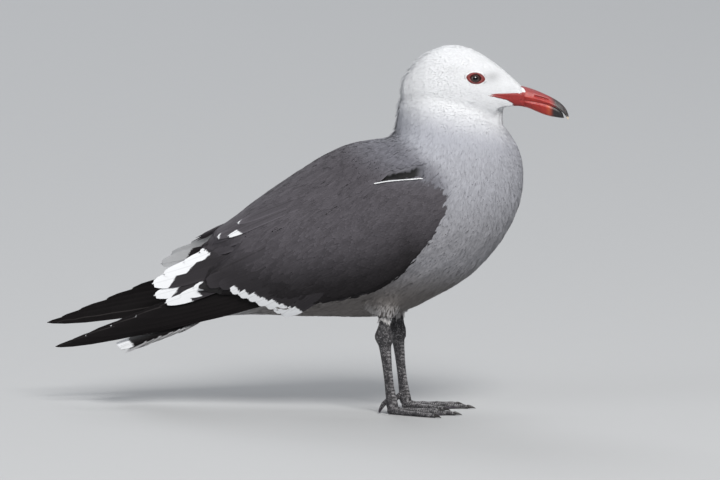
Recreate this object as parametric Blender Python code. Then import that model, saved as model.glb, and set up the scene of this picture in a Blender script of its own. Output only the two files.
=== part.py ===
"""Heermann's gull (Larus heermanni), an adult standing at rest, as a still life-size model.

The bird faces +X, its left side is +Y and it stands on the plane Z = 0.  Lengths in the tables
below are in millimetres and are turned into metres as the shapes are made.  The flesh is lofted
through named cross-sections, the folded wings and the tail are curved plates that follow it, and
every piece is a closed solid of its own, parted from its neighbours by a gap of 0.3 mm.
"""

import math
from dataclasses import dataclass, fields, replace

import bmesh
import bpy
from mathutils import Matrix, Vector

MM = 0.001
GAP = 0.3 * MM  # clear space between two touching pieces
RIGHT, LEFT = -1, 1  # sign of Y on each side of the bird

BODY_SIDES = 24  # points round a section of the trunk and neck
HEAD_SIDES = 20
LEG_SIDES = 10
BILL_ARCH = 7  # points over the arch of a half of the bill
EYE_RADIUS = 6.3
EYE_CENTRE = (135.0, 12.3, 261.2)  # x, distance from the midline, z

LEG_SPREAD = 22.0  # distance of each leg from the midline
FOOT_X = {RIGHT: 70.0, LEFT: 72.6}  # heel of each foot, the left a little ahead
TOE_ANGLES = (-31.0, -6.0, 19.0)  # outer, middle and inner toe, degrees from straight ahead
TOE_LENGTHS = (43.0, 50.0, 38.0)
TOE_RADIUS = 2.3
TOE_RIDGE = ((1.0, 0.35), (0.62, 0.86), (0.0, 1.0), (-0.62, 0.86), (-1.0, 0.35))
TOE_STEPS = (0.0, 0.1, 0.25, 0.5, 0.75, 0.93, 1.0)
HEEL = 1.6  # how far the heel pad reaches behind the toes' common root
WEB_TOP = 1.9
WEB_UNDER = 0.5  # the webs hang just clear of the floor, the toes lie on it
WEB_NOTCH = 9.0  # how far the front edge of a web is hollowed
CLAW_LENGTH = 6.0


@dataclass(frozen=True)
class Section:
    """An oval hung between a point (x, z) on the back and one on the belly."""

    back: tuple
    belly: tuple
    half_width: float
    widest: float = 0.5  # where it is widest, as a fraction of the way down


@dataclass(frozen=True)
class Rib:
    """A rib across a folded wing, from its upper to its lower edge.

    Both edges are (x, distance from the midline, z).  The feathers bow outwards between
    them by bow, and the plate is depth thick.
    """

    upper: tuple
    lower: tuple
    bow: float
    depth: float


@dataclass(frozen=True)
class Ring:
    """A level ellipse of a leg: its centre x and z, and its half sizes along X and Y."""

    x: float
    z: float
    along: float
    across: float


BODY = (
    Section((-112, 76), (-107, 57.5), 8),
    Section((-92, 85), (-84, 66.5), 12.5),
    Section((-66, 96), (-58, 71.5), 18),
    Section((-40, 110), (-30, 72.5), 23.5),
    Section((-14, 133), (-4, 71.8), 29.5),
    Section((8, 160), (22, 72), 35.5),
    Section((26, 184), (48, 72), 42),
    Section((42, 198.5), (73, 75.5), 47),
    Section((54, 206.5), (100, 88.5), 50),
    Section((62, 210.5), (128, 105.5), 51),
    Section((66.5, 213.5), (152, 132), 49.5),
    Section((69.5, 217), (166.3, 161), 45.5),
    Section((70.6, 222), (169.2, 186), 39.5),
    Section((71.4, 230), (164.5, 206), 33),
    Section((73, 240), (151.5, 224), 27),
    Section((82, 251), (138, 232), 21),
)
BODY_PARTS = {"rump": (0, 3), "trunk": (3, 8), "breast": (8, 12), "neck": (12, 15)}

HEAD = (
    Section((75.5, 256), (74.5, 241), 9),
    Section((79, 262.5), (78, 231), 14.5),
    Section((86, 271.2), (86, 226), 18.6),
    Section((96, 278.8), (97, 222.5), 21.2, 0.52),
    Section((108, 283.4), (109, 220.5), 22.2, 0.52),
    Section((119, 283.7), (120, 220), 21.6, 0.52),
    Section((129, 281), (130.5, 220.5), 19.9, 0.5),
    Section((138.5, 276), (140.5, 221.5), 17.5, 0.48),
    Section((147, 270.2), (149.5, 224.2), 14.6, 0.48),
    Section((154, 265), (157.5, 230.4), 12.1),
    Section((161, 258.8), (165.5, 235), 9.8),
    Section((167.5, 252.8), (172.5, 236.8), 7.8),
)

UPPER_BILL = (
    Section((168.0, 252.5), (171.2, 242.0), 6.3),
    Section((177.1, 251.0), (178.2, 239.9), 5.6),
    Section((183.6, 249.5), (184.3, 239.3), 5.1),
    Section((190.1, 247.4), (189.8, 238.2), 4.6),
    Section((195.4, 244.2), (194.4, 236.6), 4.0),
    Section((199.9, 239.9), (197.8, 234.6), 3.2),
    Section((203.2, 235.0), (200.8, 231.8), 2.2),
    Section((204.8, 229.6), (202.6, 229.2), 0.9),
)
LOWER_BILL = (
    Section((171.6, 241.6), (173.0, 236.9), 5.4),
    Section((178.3, 239.5), (178.6, 233.6), 4.8),
    Section((184.3, 238.9), (184.6, 231.4), 4.4),
    Section((189.7, 237.8), (190.0, 229.7), 4.0),
    Section((194.1, 236.2), (194.8, 229.2), 3.3),
    Section((197.3, 234.2), (198.4, 228.9), 2.4),
    Section((199.6, 232.0), (200.8, 228.9), 1.1),
)

SCAPULARS = (
    Rib((67, 19, 211.5), (101, 43, 199), 2.0, 6),
    Rib((49, 9, 209), (82, 48, 188.5), 4.5, 8),
    Rib((28, 5, 204.5), (61, 48.5, 176.5), 7.0, 9),
    Rib((4, 2, 192), (38, 46, 158), 8.5, 8),
    Rib((-19, 1, 176), (5, 42.5, 147.5), 8.0, 7),
    Rib((-41, 1, 160.5), (-23, 37.5, 140.5), 6.0, 5.5),
    Rib((-60, 4, 145.5), (-52, 29, 134), 3.5, 4),
    Rib((-72, 10, 137), (-68, 21, 132), 1.5, 2.2),
)
TERTIALS = (
    Rib((-14, 8, 160), (-4, 38, 132), 3.5, 4.0),
    Rib((-40, 6, 149), (-34, 35, 114), 3.5, 3.6),
    Rib((-64, 7, 137), (-57, 31, 101), 3.5, 3.2),
    Rib((-84, 9, 125), (-80, 28, 90.5), 3.0, 2.8),
    Rib((-101, 12, 114), (-99, 25, 82), 2.5, 2.4),
    Rib((-113, 15, 102.5), (-110, 22.5, 80), 1.6, 1.9),
    Rib((-120.5, 17.5, 93.5), (-118.5, 20, 86), 0.6, 1.3),
)
COVERTS = (
    Rib((116.5, 45, 178), (119.0, 44, 166), 1.0, 5),
    Rib((106, 49, 185), (113, 46.5, 150.5), 2.0, 8),
    Rib((84, 51, 184), (101, 48, 133), 4.0, 9),
    Rib((60, 50.5, 176), (84, 47, 113.5), 5.5, 8),
    Rib((34, 47.5, 163), (60, 43, 98), 6.5, 7),
    Rib((6, 44, 152), (28, 37.5, 88), 6.5, 5.5),
    Rib((-22, 40, 143), (0, 32.5, 81), 6.0, 4.5),
    Rib((-43, 36.5, 129), (-18, 30, 78), 4.5, 3.6),
    Rib((-58, 34, 117), (-44, 29.5, 86.5), 3.0, 2.8),
    Rib((-72, 31.5, 104), (-69, 29, 91), 1.5, 2.2),
    Rib((-80, 30, 97.5), (-79.5, 29.5, 93), 0.5, 1.3),
)
PRIMARIES = (
    Rib((-22, 29, 117), (-20, 31, 81.5), 1.5, 2.4),
    Rib((-52, 25.5, 107), (-52, 28.5, 75.5), 1.8, 2.2),
    Rib((-85, 21, 95), (-86, 23.5, 69.5), 2.0, 2.2),
    Rib((-112, 17, 85), (-113, 19, 63.2), 2.0, 2.0),
    Rib((-138, 13.5, 73.8), (-138, 15.5, 57.0), 1.6, 1.8),
    Rib((-160, 11, 63.4), (-160, 12.6, 52.8), 1.1, 1.6),
    Rib((-180, 9.5, 53.8), (-179, 10.4, 49.2), 0.6, 1.3),
    Rib((-195.8, 8, 46.8), (-195, 8.5, 44.8), 0.2, 1.0),
)
# How far each group of the left wing is carried higher and further back than the right one's.
LEFT_LIFT = {"scapulars": 0.0, "coverts": 2.0, "tertials": 8.5, "primaries": 17.0}
LEFT_REACH = {"scapulars": 0.0, "coverts": 0.0, "tertials": 4.0, "primaries": 9.0}
# The direction in which each group bows out, in degrees above level.
LEAN = {"scapulars": 50.0, "coverts": 6.0, "tertials": 22.0, "primaries": 10.0}
LIFT_FROM, LIFT_FULL = 20.0, -115.0  # x where the lift of the left wing starts and is whole

TAIL_ROOT_X, TAIL_TIP_X = -84.0, -150.0
TAIL_ROOT_Z, TAIL_TIP_Z = 71.0, 47.5
TAIL_ROOT_HALF, TAIL_TIP_HALF = 14.0, 25.0
TAIL_DROOP = 3.0  # how far the outer feathers lie below the middle ones
TAIL_ROUNDING = 6.0  # how much shorter the outer feathers are
TAIL_DEPTH = 2.6

THIGH = (
    Ring(66.5, 90, 9.5, 8.5),
    Ring(66.2, 83, 8.8, 8.0),
    Ring(66.0, 77, 7.0, 6.4),
    Ring(65.8, 73.6, 5.4, 4.8),
)
SHANK = (
    Ring(65.6, 80, 4.0, 3.4),
    Ring(65.2, 72, 4.3, 3.6),
    Ring(64.6, 66, 5.4, 4.0),
    Ring(64.4, 60, 7.0, 4.5),
    Ring(64.7, 55.5, 6.9, 4.4),
    Ring(65.2, 51.5, 5.2, 3.8),
)
TARSUS = (
    Ring(65.3, 51.1, 5.1, 3.7),
    Ring(66.2, 44, 4.3, 3.1),
    Ring(67.4, 33, 3.7, 2.7),
    Ring(68.7, 22, 3.7, 2.7),
    Ring(70.0, 13, 4.2, 3.1),
    Ring(70.8, 8.9, 4.6, 3.6),
)

HIND_TOE = (  # a short toe behind the heel, its claw resting on the floor
    Ring(67.0, 11.0, 2.2, 1.9),
    Ring(64.6, 8.0, 2.0, 1.7),
    Ring(62.3, 4.6, 1.6, 1.3),
    Ring(60.8, 1.6, 1.1, 0.9),
    Ring(60.2, 0.0, 0.8, 0.7),
)

FINISHES = {  # base colour, roughness, metallic
    "white_feather": ((0.86, 0.87, 0.89), 0.85, 0.0),
    "grey_feather": ((0.36, 0.36, 0.37), 0.85, 0.0),
    "dark_feather": ((0.085, 0.08, 0.078), 0.8, 0.0),
    "black_feather": ((0.02, 0.019, 0.018), 0.7, 0.0),
    "bill_red": ((0.55, 0.03, 0.025), 0.35, 0.0),
    "eye": ((0.035, 0.018, 0.012), 0.08, 0.0),
    "leg_skin": ((0.05, 0.047, 0.046), 0.55, 0.0),
    "claw": ((0.012, 0.011, 0.011), 0.3, 0.0),
}


# ----------------------------------------------------------------------------- scene and finish


def clear_scene():
    """Remove every object, so the model starts from nothing."""
    for item in list(bpy.data.objects):
        bpy.data.objects.remove(item, do_unlink=True)


def new_collection(name):
    """Return a new collection linked to the scene."""
    group = bpy.data.collections.new(name)
    bpy.context.scene.collection.children.link(group)
    return group


def make_finish(name):
    """Return the Principled material of this name from FINISHES."""
    colour, roughness, metallic = FINISHES[name]
    material = bpy.data.materials.get(name)
    if material is None:
        material = bpy.data.materials.new(name)
        material.use_nodes = True
        shader = material.node_tree.nodes["Principled BSDF"]
        shader.inputs["Base Color"].default_value = (*colour, 1.0)
        shader.inputs["Roughness"].default_value = roughness
        shader.inputs["Metallic"].default_value = metallic
        material.diffuse_color = (*colour, 1.0)
    return material


# ----------------------------------------------------------------------------- curves and grids


def catmull(a, b, c, d, t):
    """Return the Catmull-Rom value between b and c for numbers or tuples of numbers."""
    if isinstance(b, tuple):
        return tuple(catmull(*values, t) for values in zip(a, b, c, d))
    return 0.5 * (
        2 * b + (c - a) * t + (2 * a - 5 * b + 4 * c - d) * t * t + (3 * b - a - 3 * c + d) * t ** 3
    )


def refine(items, steps):
    """Return the dataclass items with steps - 1 smooth in-between ones in each span."""
    result = []
    last = len(items) - 1
    for index in range(last):
        around = [items[min(max(index + k, 0), last)] for k in (-1, 0, 1, 2)]
        for step in range(steps):
            values = {
                field.name: catmull(*(getattr(item, field.name) for item in around), step / steps)
                for field in fields(items[0])
            }
            result.append(replace(items[index], **values))
    result.append(items[last])
    return result


def point(x, y, z):
    """Return a Vector in metres from lengths in millimetres."""
    return Vector((x, y, z)) * MM


def oval(section, sides):
    """Return the closed ring of points of a section, starting on the back."""
    top = point(section.back[0], 0, section.back[1])
    bottom = point(section.belly[0], 0, section.belly[1])
    ring = []
    for step in range(sides):
        angle = 2 * math.pi * step / sides
        level = math.cos(angle)
        reach = section.widest if level > 0 else 1 - section.widest
        place = top.lerp(bottom, section.widest - level * reach)
        ring.append(place + point(0, section.half_width * math.sin(angle), 0))
    return ring


def arch(section, count, upright):
    """Return a ring that is round on one side and flat on the other, for half of a bill."""
    crest = point(section.back[0], 0, section.back[1])
    base = point(section.belly[0], 0, section.belly[1])
    if not upright:
        crest, base = base, crest
    ring = []
    for step in range(count):
        angle = math.pi * step / (count - 1)
        rise = math.sin(angle) ** 0.8
        ring.append(base.lerp(crest, rise) + point(0, section.half_width * math.cos(angle), 0))
    return ring


def ellipse(ring, y, sides):
    """Return the points of a level ellipse of a leg that stands at this y."""
    result = []
    for step in range(sides):
        angle = 2 * math.pi * step / sides
        result.append(
            point(ring.x + ring.along * math.cos(angle), y + ring.across * math.sin(angle), ring.z)
        )
    return result


# ----------------------------------------------------------------------------- solids


def finish_solid(shape, name, finish, group):
    """Make an object of a closed bmesh, with its faces as triangles that point out."""
    bmesh.ops.triangulate(shape, faces=shape.faces)
    bmesh.ops.recalc_face_normals(shape, faces=shape.faces)
    mesh = bpy.data.meshes.new(name)
    shape.to_mesh(mesh)
    shape.free()
    mesh.shade_smooth()
    mesh.set_sharp_from_angle(angle=math.radians(40))
    mesh.materials.append(make_finish(finish))
    item = bpy.data.objects.new(name, mesh)
    group.objects.link(item)
    return item


def loft(rings, name, finish, group):
    """Make a closed solid through rings that all have the same number of points."""
    shape = bmesh.new()
    loops = [[shape.verts.new(place) for place in ring] for ring in rings]
    count = len(loops[0])
    for first, second in zip(loops, loops[1:]):
        for k in range(count):
            following = (k + 1) % count
            shape.faces.new((first[k], first[following], second[following], second[k]))
    shape.faces.new(loops[0])
    shape.faces.new(loops[-1])
    return finish_solid(shape, name, finish, group)


def slab(outer, inner, name, finish, group):
    """Make a closed solid between two grids of points with the same rows and columns."""
    shape = bmesh.new()
    top = [[shape.verts.new(place) for place in row] for row in outer]
    under = [[shape.verts.new(place) for place in row] for row in inner]
    rows, columns = len(top), len(top[0])
    for grid in (top, under):
        for i in range(rows - 1):
            for j in range(columns - 1):
                shape.faces.new((grid[i][j], grid[i][j + 1], grid[i + 1][j + 1], grid[i + 1][j]))
    for i in range(rows - 1):
        for j in (0, columns - 1):
            shape.faces.new((top[i][j], top[i + 1][j], under[i + 1][j], under[i][j]))
    for j in range(columns - 1):
        for i in (0, rows - 1):
            shape.faces.new((top[i][j], top[i][j + 1], under[i][j + 1], under[i][j]))
    return finish_solid(shape, name, finish, group)


def swollen_copy(item, by, cutters):
    """Return a copy of a solid grown outwards by this much, to cut its neighbours with."""
    shape = bmesh.new()
    shape.from_mesh(item.data)
    shape.normal_update()
    moves = [(vertex, vertex.normal * by) for vertex in shape.verts]
    for vertex, move in moves:
        vertex.co += move
    mesh = bpy.data.meshes.new(item.name + "_cutter")
    shape.to_mesh(mesh)
    shape.free()
    cutter = bpy.data.objects.new(item.name + "_cutter", mesh)
    cutter.hide_render = True
    cutter.display_type = "WIRE"
    cutters.objects.link(cutter)
    return cutter


def cut(item, cutter):
    """Take the cutter's shape out of a solid."""
    modifier = item.modifiers.new("cut_" + cutter.name, "BOOLEAN")
    modifier.operation = "DIFFERENCE"
    modifier.solver = "EXACT"
    modifier.object = cutter


# ----------------------------------------------------------------------------- trunk and head


def make_body(group, cutters):
    """Make rump, trunk, breast and neck, and return them with a cutter of the whole body."""
    steps = 2
    rings = [oval(section, BODY_SIDES) for section in refine(BODY, steps)]
    whole = loft(rings, "body_whole", "grey_feather", cutters)
    whole.hide_render = True
    whole.display_type = "WIRE"
    parts = {}
    for name, (first, last) in BODY_PARTS.items():
        piece = [list(ring) for ring in rings[first * steps : last * steps + 1]]
        for end, inward in ((0, 1), (-1, -2)):
            if (name, end) in (("rump", 0), ("neck", -1)):
                continue
            across = piece[inward][0] - piece[end][0]
            along = (piece[end][0] - piece[end][BODY_SIDES // 2]).cross(Vector((0, 1, 0)))
            along.normalize()
            if along.dot(across) < 0:
                along.negate()
            piece[end] = [place + along * GAP / 2 for place in piece[end]]
        finish = "white_feather" if name == "neck" else "grey_feather"
        parts[name] = loft(piece, name, finish, group)
    return parts, swollen_copy(whole, GAP, cutters)


def make_head(group, cutters):
    """Make the head, with a socket for each eye, and both eyes."""
    head = loft([oval(section, HEAD_SIDES) for section in HEAD], "head", "white_feather", group)
    neck_cutter = swollen_copy(head, GAP, cutters)
    for side, word in ((RIGHT, "right"), (LEFT, "left")):
        centre = point(EYE_CENTRE[0], side * EYE_CENTRE[1], EYE_CENTRE[2])
        for name, radius, home in (
            ("eye_" + word, EYE_RADIUS * MM, group),
            ("socket_" + word, EYE_RADIUS * MM + GAP, cutters),
        ):
            shape = bmesh.new()
            bmesh.ops.create_uvsphere(shape, u_segments=12, v_segments=8, radius=radius)
            lay = Matrix.Rotation(math.pi / 2, 3, "X")
            bmesh.ops.rotate(shape, verts=shape.verts, cent=(0, 0, 0), matrix=lay)
            item = finish_solid(shape, name, "eye", home)
            item.location = centre
            if home is cutters:
                item.hide_render = True
                item.display_type = "WIRE"
                cut(head, item)
    return head, neck_cutter


def make_bill(group):
    """Make the two halves of the bill, each an arch closed by a flat face."""
    upper = [arch(section, BILL_ARCH, True) for section in refine(UPPER_BILL, 2)]
    lower = [arch(section, BILL_ARCH, False) for section in refine(LOWER_BILL, 2)]
    loft(upper, "upper_bill", "bill_red", group)
    loft(lower, "lower_bill", "bill_red", group)


# ----------------------------------------------------------------------------- wings and tail


def wing_grids(ribs, lean, side, lift, reach, columns):
    """Return the outer and inner grids of points of one group of folded wing feathers."""
    out = Vector((0, side * math.cos(math.radians(lean)), math.sin(math.radians(lean))))
    outer, inner = [], []
    for rib in refine(ribs, 2):
        row_out, row_in = [], []
        for column in range(columns):
            v = column / (columns - 1)
            place = [a + (b - a) * v for a, b in zip(rib.upper, rib.lower)]
            share = min(max((LIFT_FROM - place[0]) / (LIFT_FROM - LIFT_FULL), 0.0), 1.0)
            share = share * share * (3 - 2 * share)
            spot = point(place[0] - reach * share, side * place[1], place[2] + lift * share)
            spot += out * rib.bow * MM * 4 * v * (1 - v)
            back = spot - out * rib.depth * MM
            back.y = side * max(side * back.y, GAP)
            row_out.append(spot)
            row_in.append(back)
        outer.append(row_out)
        inner.append(row_in)
    return outer, inner


def make_wing(side, word, group, cutters, body_cutter, tail_cutter):
    """Make the four feather groups of one wing, each cut by the ones that lie under it."""
    under = [body_cutter, tail_cutter]
    order = (
        ("primaries", PRIMARIES, "black_feather", 5),
        ("tertials", TERTIALS, "dark_feather", 6),
        ("coverts", COVERTS, "dark_feather", 6),
        ("scapulars", SCAPULARS, "dark_feather", 6),
    )
    for key, ribs, finish, columns in order:
        lift = LEFT_LIFT[key] if side == LEFT else 0.0
        reach = LEFT_REACH[key] if side == LEFT else 0.0
        outer, inner = wing_grids(ribs, LEAN[key], side, lift, reach, columns)
        piece = slab(outer, inner, f"wing_{word}_{key}", finish, group)
        cutter = swollen_copy(piece, GAP, cutters)
        for lower in under:
            cut(piece, lower)
        under.append(cutter)


def make_tail(group, cutters, body_cutter):
    """Make the closed fan of tail feathers and return its cutter."""
    top, bottom = [], []
    for i in range(6):
        s = i / 5
        half = TAIL_ROOT_HALF + (TAIL_TIP_HALF - TAIL_ROOT_HALF) * s
        row_top, row_bottom = [], []
        for j in range(9):
            across = j / 4 - 1
            x = TAIL_ROOT_X + (TAIL_TIP_X - TAIL_ROOT_X) * s + TAIL_ROUNDING * s * across * across
            z = TAIL_ROOT_Z + (TAIL_TIP_Z - TAIL_ROOT_Z) * s - TAIL_DROOP * across * across
            depth = TAIL_DEPTH * (1 - 0.45 * s) * (1 - 0.5 * across * across)
            row_top.append(point(x, half * across, z + depth / 2))
            row_bottom.append(point(x, half * across, z - depth / 2))
        top.append(row_top)
        bottom.append(row_bottom)
    tail = slab(top, bottom, "tail", "black_feather", group)
    cutter = swollen_copy(tail, GAP, cutters)
    cut(tail, body_cutter)
    return cutter


# ----------------------------------------------------------------------------- legs and feet


def foot_grids(side, heel_x):
    """Return the upper and lower grids of a webbed foot, one row per step along the toes.

    Each toe has five columns across its rounded back and each web has three between two toes.
    """
    heel = Vector((heel_x, LEG_SPREAD))
    web = (0.3, 0.7)
    upper, lower = [], []
    for s in TOE_STEPS:
        lines = []
        for angle, length in zip(TOE_ANGLES, TOE_LENGTHS):
            turn = math.radians(angle + 5.0 * s)
            ahead = Vector((math.cos(turn), -math.sin(turn)))
            outwards = Vector((math.sin(turn), math.cos(turn)))
            centre = heel + ahead * (length * s - HEEL * max(0.0, 1 - 8 * s))
            centre -= outwards * (angle * 0.055)
            lines.append((centre, outwards, ahead))
        radius = TOE_RADIUS * (1.05 - 0.35 * s)
        height = 2 * radius * (1.0 + 0.75 * max(0.0, 1 - 4 * s) ** 1.5)
        spread = min(1.0, 3.5 * s)
        row_up, row_low = [], []
        for k, (centre, outwards, ahead) in enumerate(lines):
            for offset, rise in TOE_RIDGE:
                other = k - 1 if offset > 0 else k + 1
                side_radius = radius
                if 0 <= other < len(lines):
                    side_radius = min(radius, 0.4 * (lines[other][0] - centre).length)
                place = centre + outwards * (offset * side_radius)
                across = min(1.0, (place - heel).length / (1.9 * radius))
                rise += (1.0 - spread) * (math.sqrt(1.0 - 0.6 * across * across) - rise)
                row_up.append((place, max(WEB_TOP, height * rise)))
                row_low.append((place, 0.0))
            if k == len(lines) - 1:
                continue
            start, start_height = row_up[-1]
            following, beside, along = lines[k + 1]
            side_radius = min(radius, 0.4 * (following - centre).length)
            end = following + beside * side_radius
            for f in web:
                place = start.lerp(end, f)
                back = (ahead + along) * (0.5 * WEB_NOTCH * s * 4 * f * (1 - f))
                level = WEB_TOP * (1 - 0.25 * s)
                row_up.append((place - back, level + (1.0 - spread) * (start_height - level)))
                row_low.append((place - back, WEB_UNDER))
        upper.append([point(p.x, side * p.y, z) for p, z in row_up])
        lower.append([point(p.x, side * p.y, z) for p, z in row_low])
    return upper, lower


def make_claw(name, root, ahead, length, radius, drop, group):
    """Make a short curved claw from its root along a level direction, its tip drop lower."""
    rings = []
    beside = Vector((-ahead.y, ahead.x, 0))
    for i in range(4):
        s = i / 3
        size = radius * (1 - 0.82 * s)
        centre = root + ahead * length * s - Vector((0, 0, drop * s * s))
        rings.append(
            [
                centre
                + beside * size * math.cos(math.tau * k / 6)
                + Vector((0, 0, size * math.sin(math.tau * k / 6)))
                for k in range(6)
            ]
        )
    return loft(rings, name, "claw", group)


def make_leg(side, word, group, cutters, body_cutter):
    """Make one leg: feathered thigh, bare shank with the ankle, tarsus, webbed foot, hind toe, claws."""
    y = side * LEG_SPREAD
    shift = FOOT_X[side] - FOOT_X[RIGHT]

    def stand(rings):
        return [ellipse(replace(ring, x=ring.x + shift), y, LEG_SIDES) for ring in rings]

    thigh = loft(stand(THIGH), "thigh_" + word, "grey_feather", group)
    shank = loft(stand(SHANK), "shank_" + word, "leg_skin", group)
    cut(thigh, body_cutter)
    cut(thigh, swollen_copy(shank, GAP, cutters))
    cut(shank, body_cutter)
    tarsus = loft(stand(TARSUS), "tarsus_" + word, "leg_skin", group)
    heel_x = FOOT_X[side]
    upper, lower = foot_grids(side, heel_x)
    foot = slab(upper, lower, "foot_" + word, "leg_skin", group)
    toe_names = ("outer", "middle", "inner")
    for toe, angle, length in zip(toe_names, TOE_ANGLES, TOE_LENGTHS):
        turn = math.radians(angle + 5.0)
        ahead = Vector((math.cos(turn), -side * math.sin(turn), 0))
        offset = Vector((math.sin(turn), side * math.cos(turn), 0)) * (-angle * 0.055)
        reach = (length + GAP / MM) * MM
        root = point(heel_x, y, 1.75) + ahead * reach - offset * MM
        make_claw(f"claw_{word}_{toe}", root, ahead, CLAW_LENGTH * MM, 1.45 * MM, 1.2 * MM, group)
    hind = [
        ellipse(replace(ring, x=ring.x + shift), y - side * 1.0, 8) for ring in HIND_TOE
    ]
    hallux = loft(hind, "hallux_" + word, "leg_skin", group)
    cut(hallux, swollen_copy(tarsus, GAP, cutters))
    cut(hallux, swollen_copy(foot, GAP, cutters))


def main():
    """Build the whole bird."""
    clear_scene()
    group = new_collection("heermanns_gull")
    cutters = new_collection("cutters")
    parts, body_cutter = make_body(group, cutters)
    head, head_cutter = make_head(group, cutters)
    cut(parts["neck"], head_cutter)
    make_bill(group)
    tail_cutter = make_tail(group, cutters, body_cutter)
    for side, word in ((RIGHT, "right"), (LEFT, "left")):
        make_wing(side, word, group, cutters, body_cutter, tail_cutter)
        make_leg(side, word, group, cutters, body_cutter)


main()
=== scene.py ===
"""A life-size still model of a standing Heermann's gull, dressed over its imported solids."""

import sys
import logging
import math
from dataclasses import dataclass, field
from enum import Enum
from typing import Callable, Iterable, Sequence

import bmesh
import bpy
import numpy as np
from bpy.types import Material, Mesh, NodeSocket, Object
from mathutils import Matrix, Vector
from mathutils.bvhtree import BVHTree
from mathutils.kdtree import KDTree


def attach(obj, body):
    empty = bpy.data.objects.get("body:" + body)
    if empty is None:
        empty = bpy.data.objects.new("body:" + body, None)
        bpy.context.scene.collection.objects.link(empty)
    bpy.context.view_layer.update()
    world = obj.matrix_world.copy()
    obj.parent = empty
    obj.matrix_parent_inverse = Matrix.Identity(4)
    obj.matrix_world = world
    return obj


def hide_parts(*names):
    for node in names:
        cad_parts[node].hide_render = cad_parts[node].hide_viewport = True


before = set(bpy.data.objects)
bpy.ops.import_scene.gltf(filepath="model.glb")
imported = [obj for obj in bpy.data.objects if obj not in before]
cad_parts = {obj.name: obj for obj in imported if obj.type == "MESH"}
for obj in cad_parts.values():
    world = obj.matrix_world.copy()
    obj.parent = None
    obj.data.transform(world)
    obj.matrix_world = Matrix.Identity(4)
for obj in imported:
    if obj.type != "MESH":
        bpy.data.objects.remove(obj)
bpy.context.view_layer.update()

LOG = logging.getLogger("gull")
MM = 0.001
SAME_SPOT = 1e-6  # metres between vertices that are one
Array = np.ndarray
Colour = tuple[float, float, float]
Pair = tuple[float, float]
Table = tuple[tuple[float, ...], ...]

WHITE: Colour = (0.77, 0.78, 0.80)
PALE_NECK: Colour = (0.41, 0.42, 0.465)
BREAST_GREY: Colour = (0.355, 0.36, 0.395)
FLANK_GREY: Colour = (0.29, 0.288, 0.31)
# partly the belly's own darker grey, partly painted shade of the underside
BELLY_GREY: Colour = (0.155, 0.143, 0.138)
VENT_GREY: Colour = (0.36, 0.36, 0.37)
MANTLE_GREY: Colour = (0.150, 0.150, 0.172)
WING_GREY: Colour = (0.078, 0.072, 0.081)
# partly the lower wing's own dark grey, partly painted shade where the folded wing turns under
LOW_WING_GREY: Colour = (0.0105, 0.0092, 0.0100)
BLACK: Colour = (0.0052, 0.0043, 0.0046)  # of the flight and tail feathers, a little brown
EYE_SPOT: Pair = (135.0, 259.7)  # x and z of the eye's middle, in mm


class Side(Enum):
    """A side of the bird, with the sign of its Y."""

    RIGHT = -1
    LEFT = 1

    @property
    def word(self) -> str:
        """The side's name in lower case."""
        return self.name.lower()


# ---- numbers


def smooth(value: Array, low: float, high: float) -> Array:
    """Ease from 0 at low to 1 at high.

    Args:
        value: Numbers to ease.
        low: Where the result is 0.
        high: Where the result is 1.

    Returns:
        The eased numbers.
    """
    share = np.clip((value - low) / (high - low), 0.0, 1.0)
    return share * share * (3.0 - 2.0 * share)


def blend(share: Array, first: Sequence[float], second: Sequence[float] | Array) -> Array:
    """Mix two colours, or an array of colours and one more, by an array of shares."""
    share = np.asarray(share)[..., None]
    return np.asarray(first) * (1.0 - share) + np.asarray(second) * share


def unit(rows: Array) -> Array:
    """Scale every row to length 1."""
    return rows / np.maximum(np.linalg.norm(rows, axis=-1, keepdims=True), 1e-12)


def curve(table: Sequence[Sequence[float]], count: int) -> Array:
    """Run a Catmull-Rom curve through rows of numbers.

    Args:
        table: The rows, each with the same amount of numbers.
        count: How many rows to return.

    Returns:
        The rows on the curve, evenly spread over the spans.
    """
    rows = np.asarray(table, float)
    padded = np.vstack([2 * rows[0] - rows[1], rows, 2 * rows[-1] - rows[-2]])
    where = np.linspace(0, len(rows) - 1, count)
    span = np.minimum(where.astype(int), len(rows) - 2)
    t = (where - span)[:, None]
    a, b, c, d = (padded[span + k] for k in range(4))
    return 0.5 * (2 * b + (c - a) * t + (2 * a - 5 * b + 4 * c - d) * t**2 + (3 * b - a - 3 * c + d) * t**3)


# ---- shader work


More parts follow.
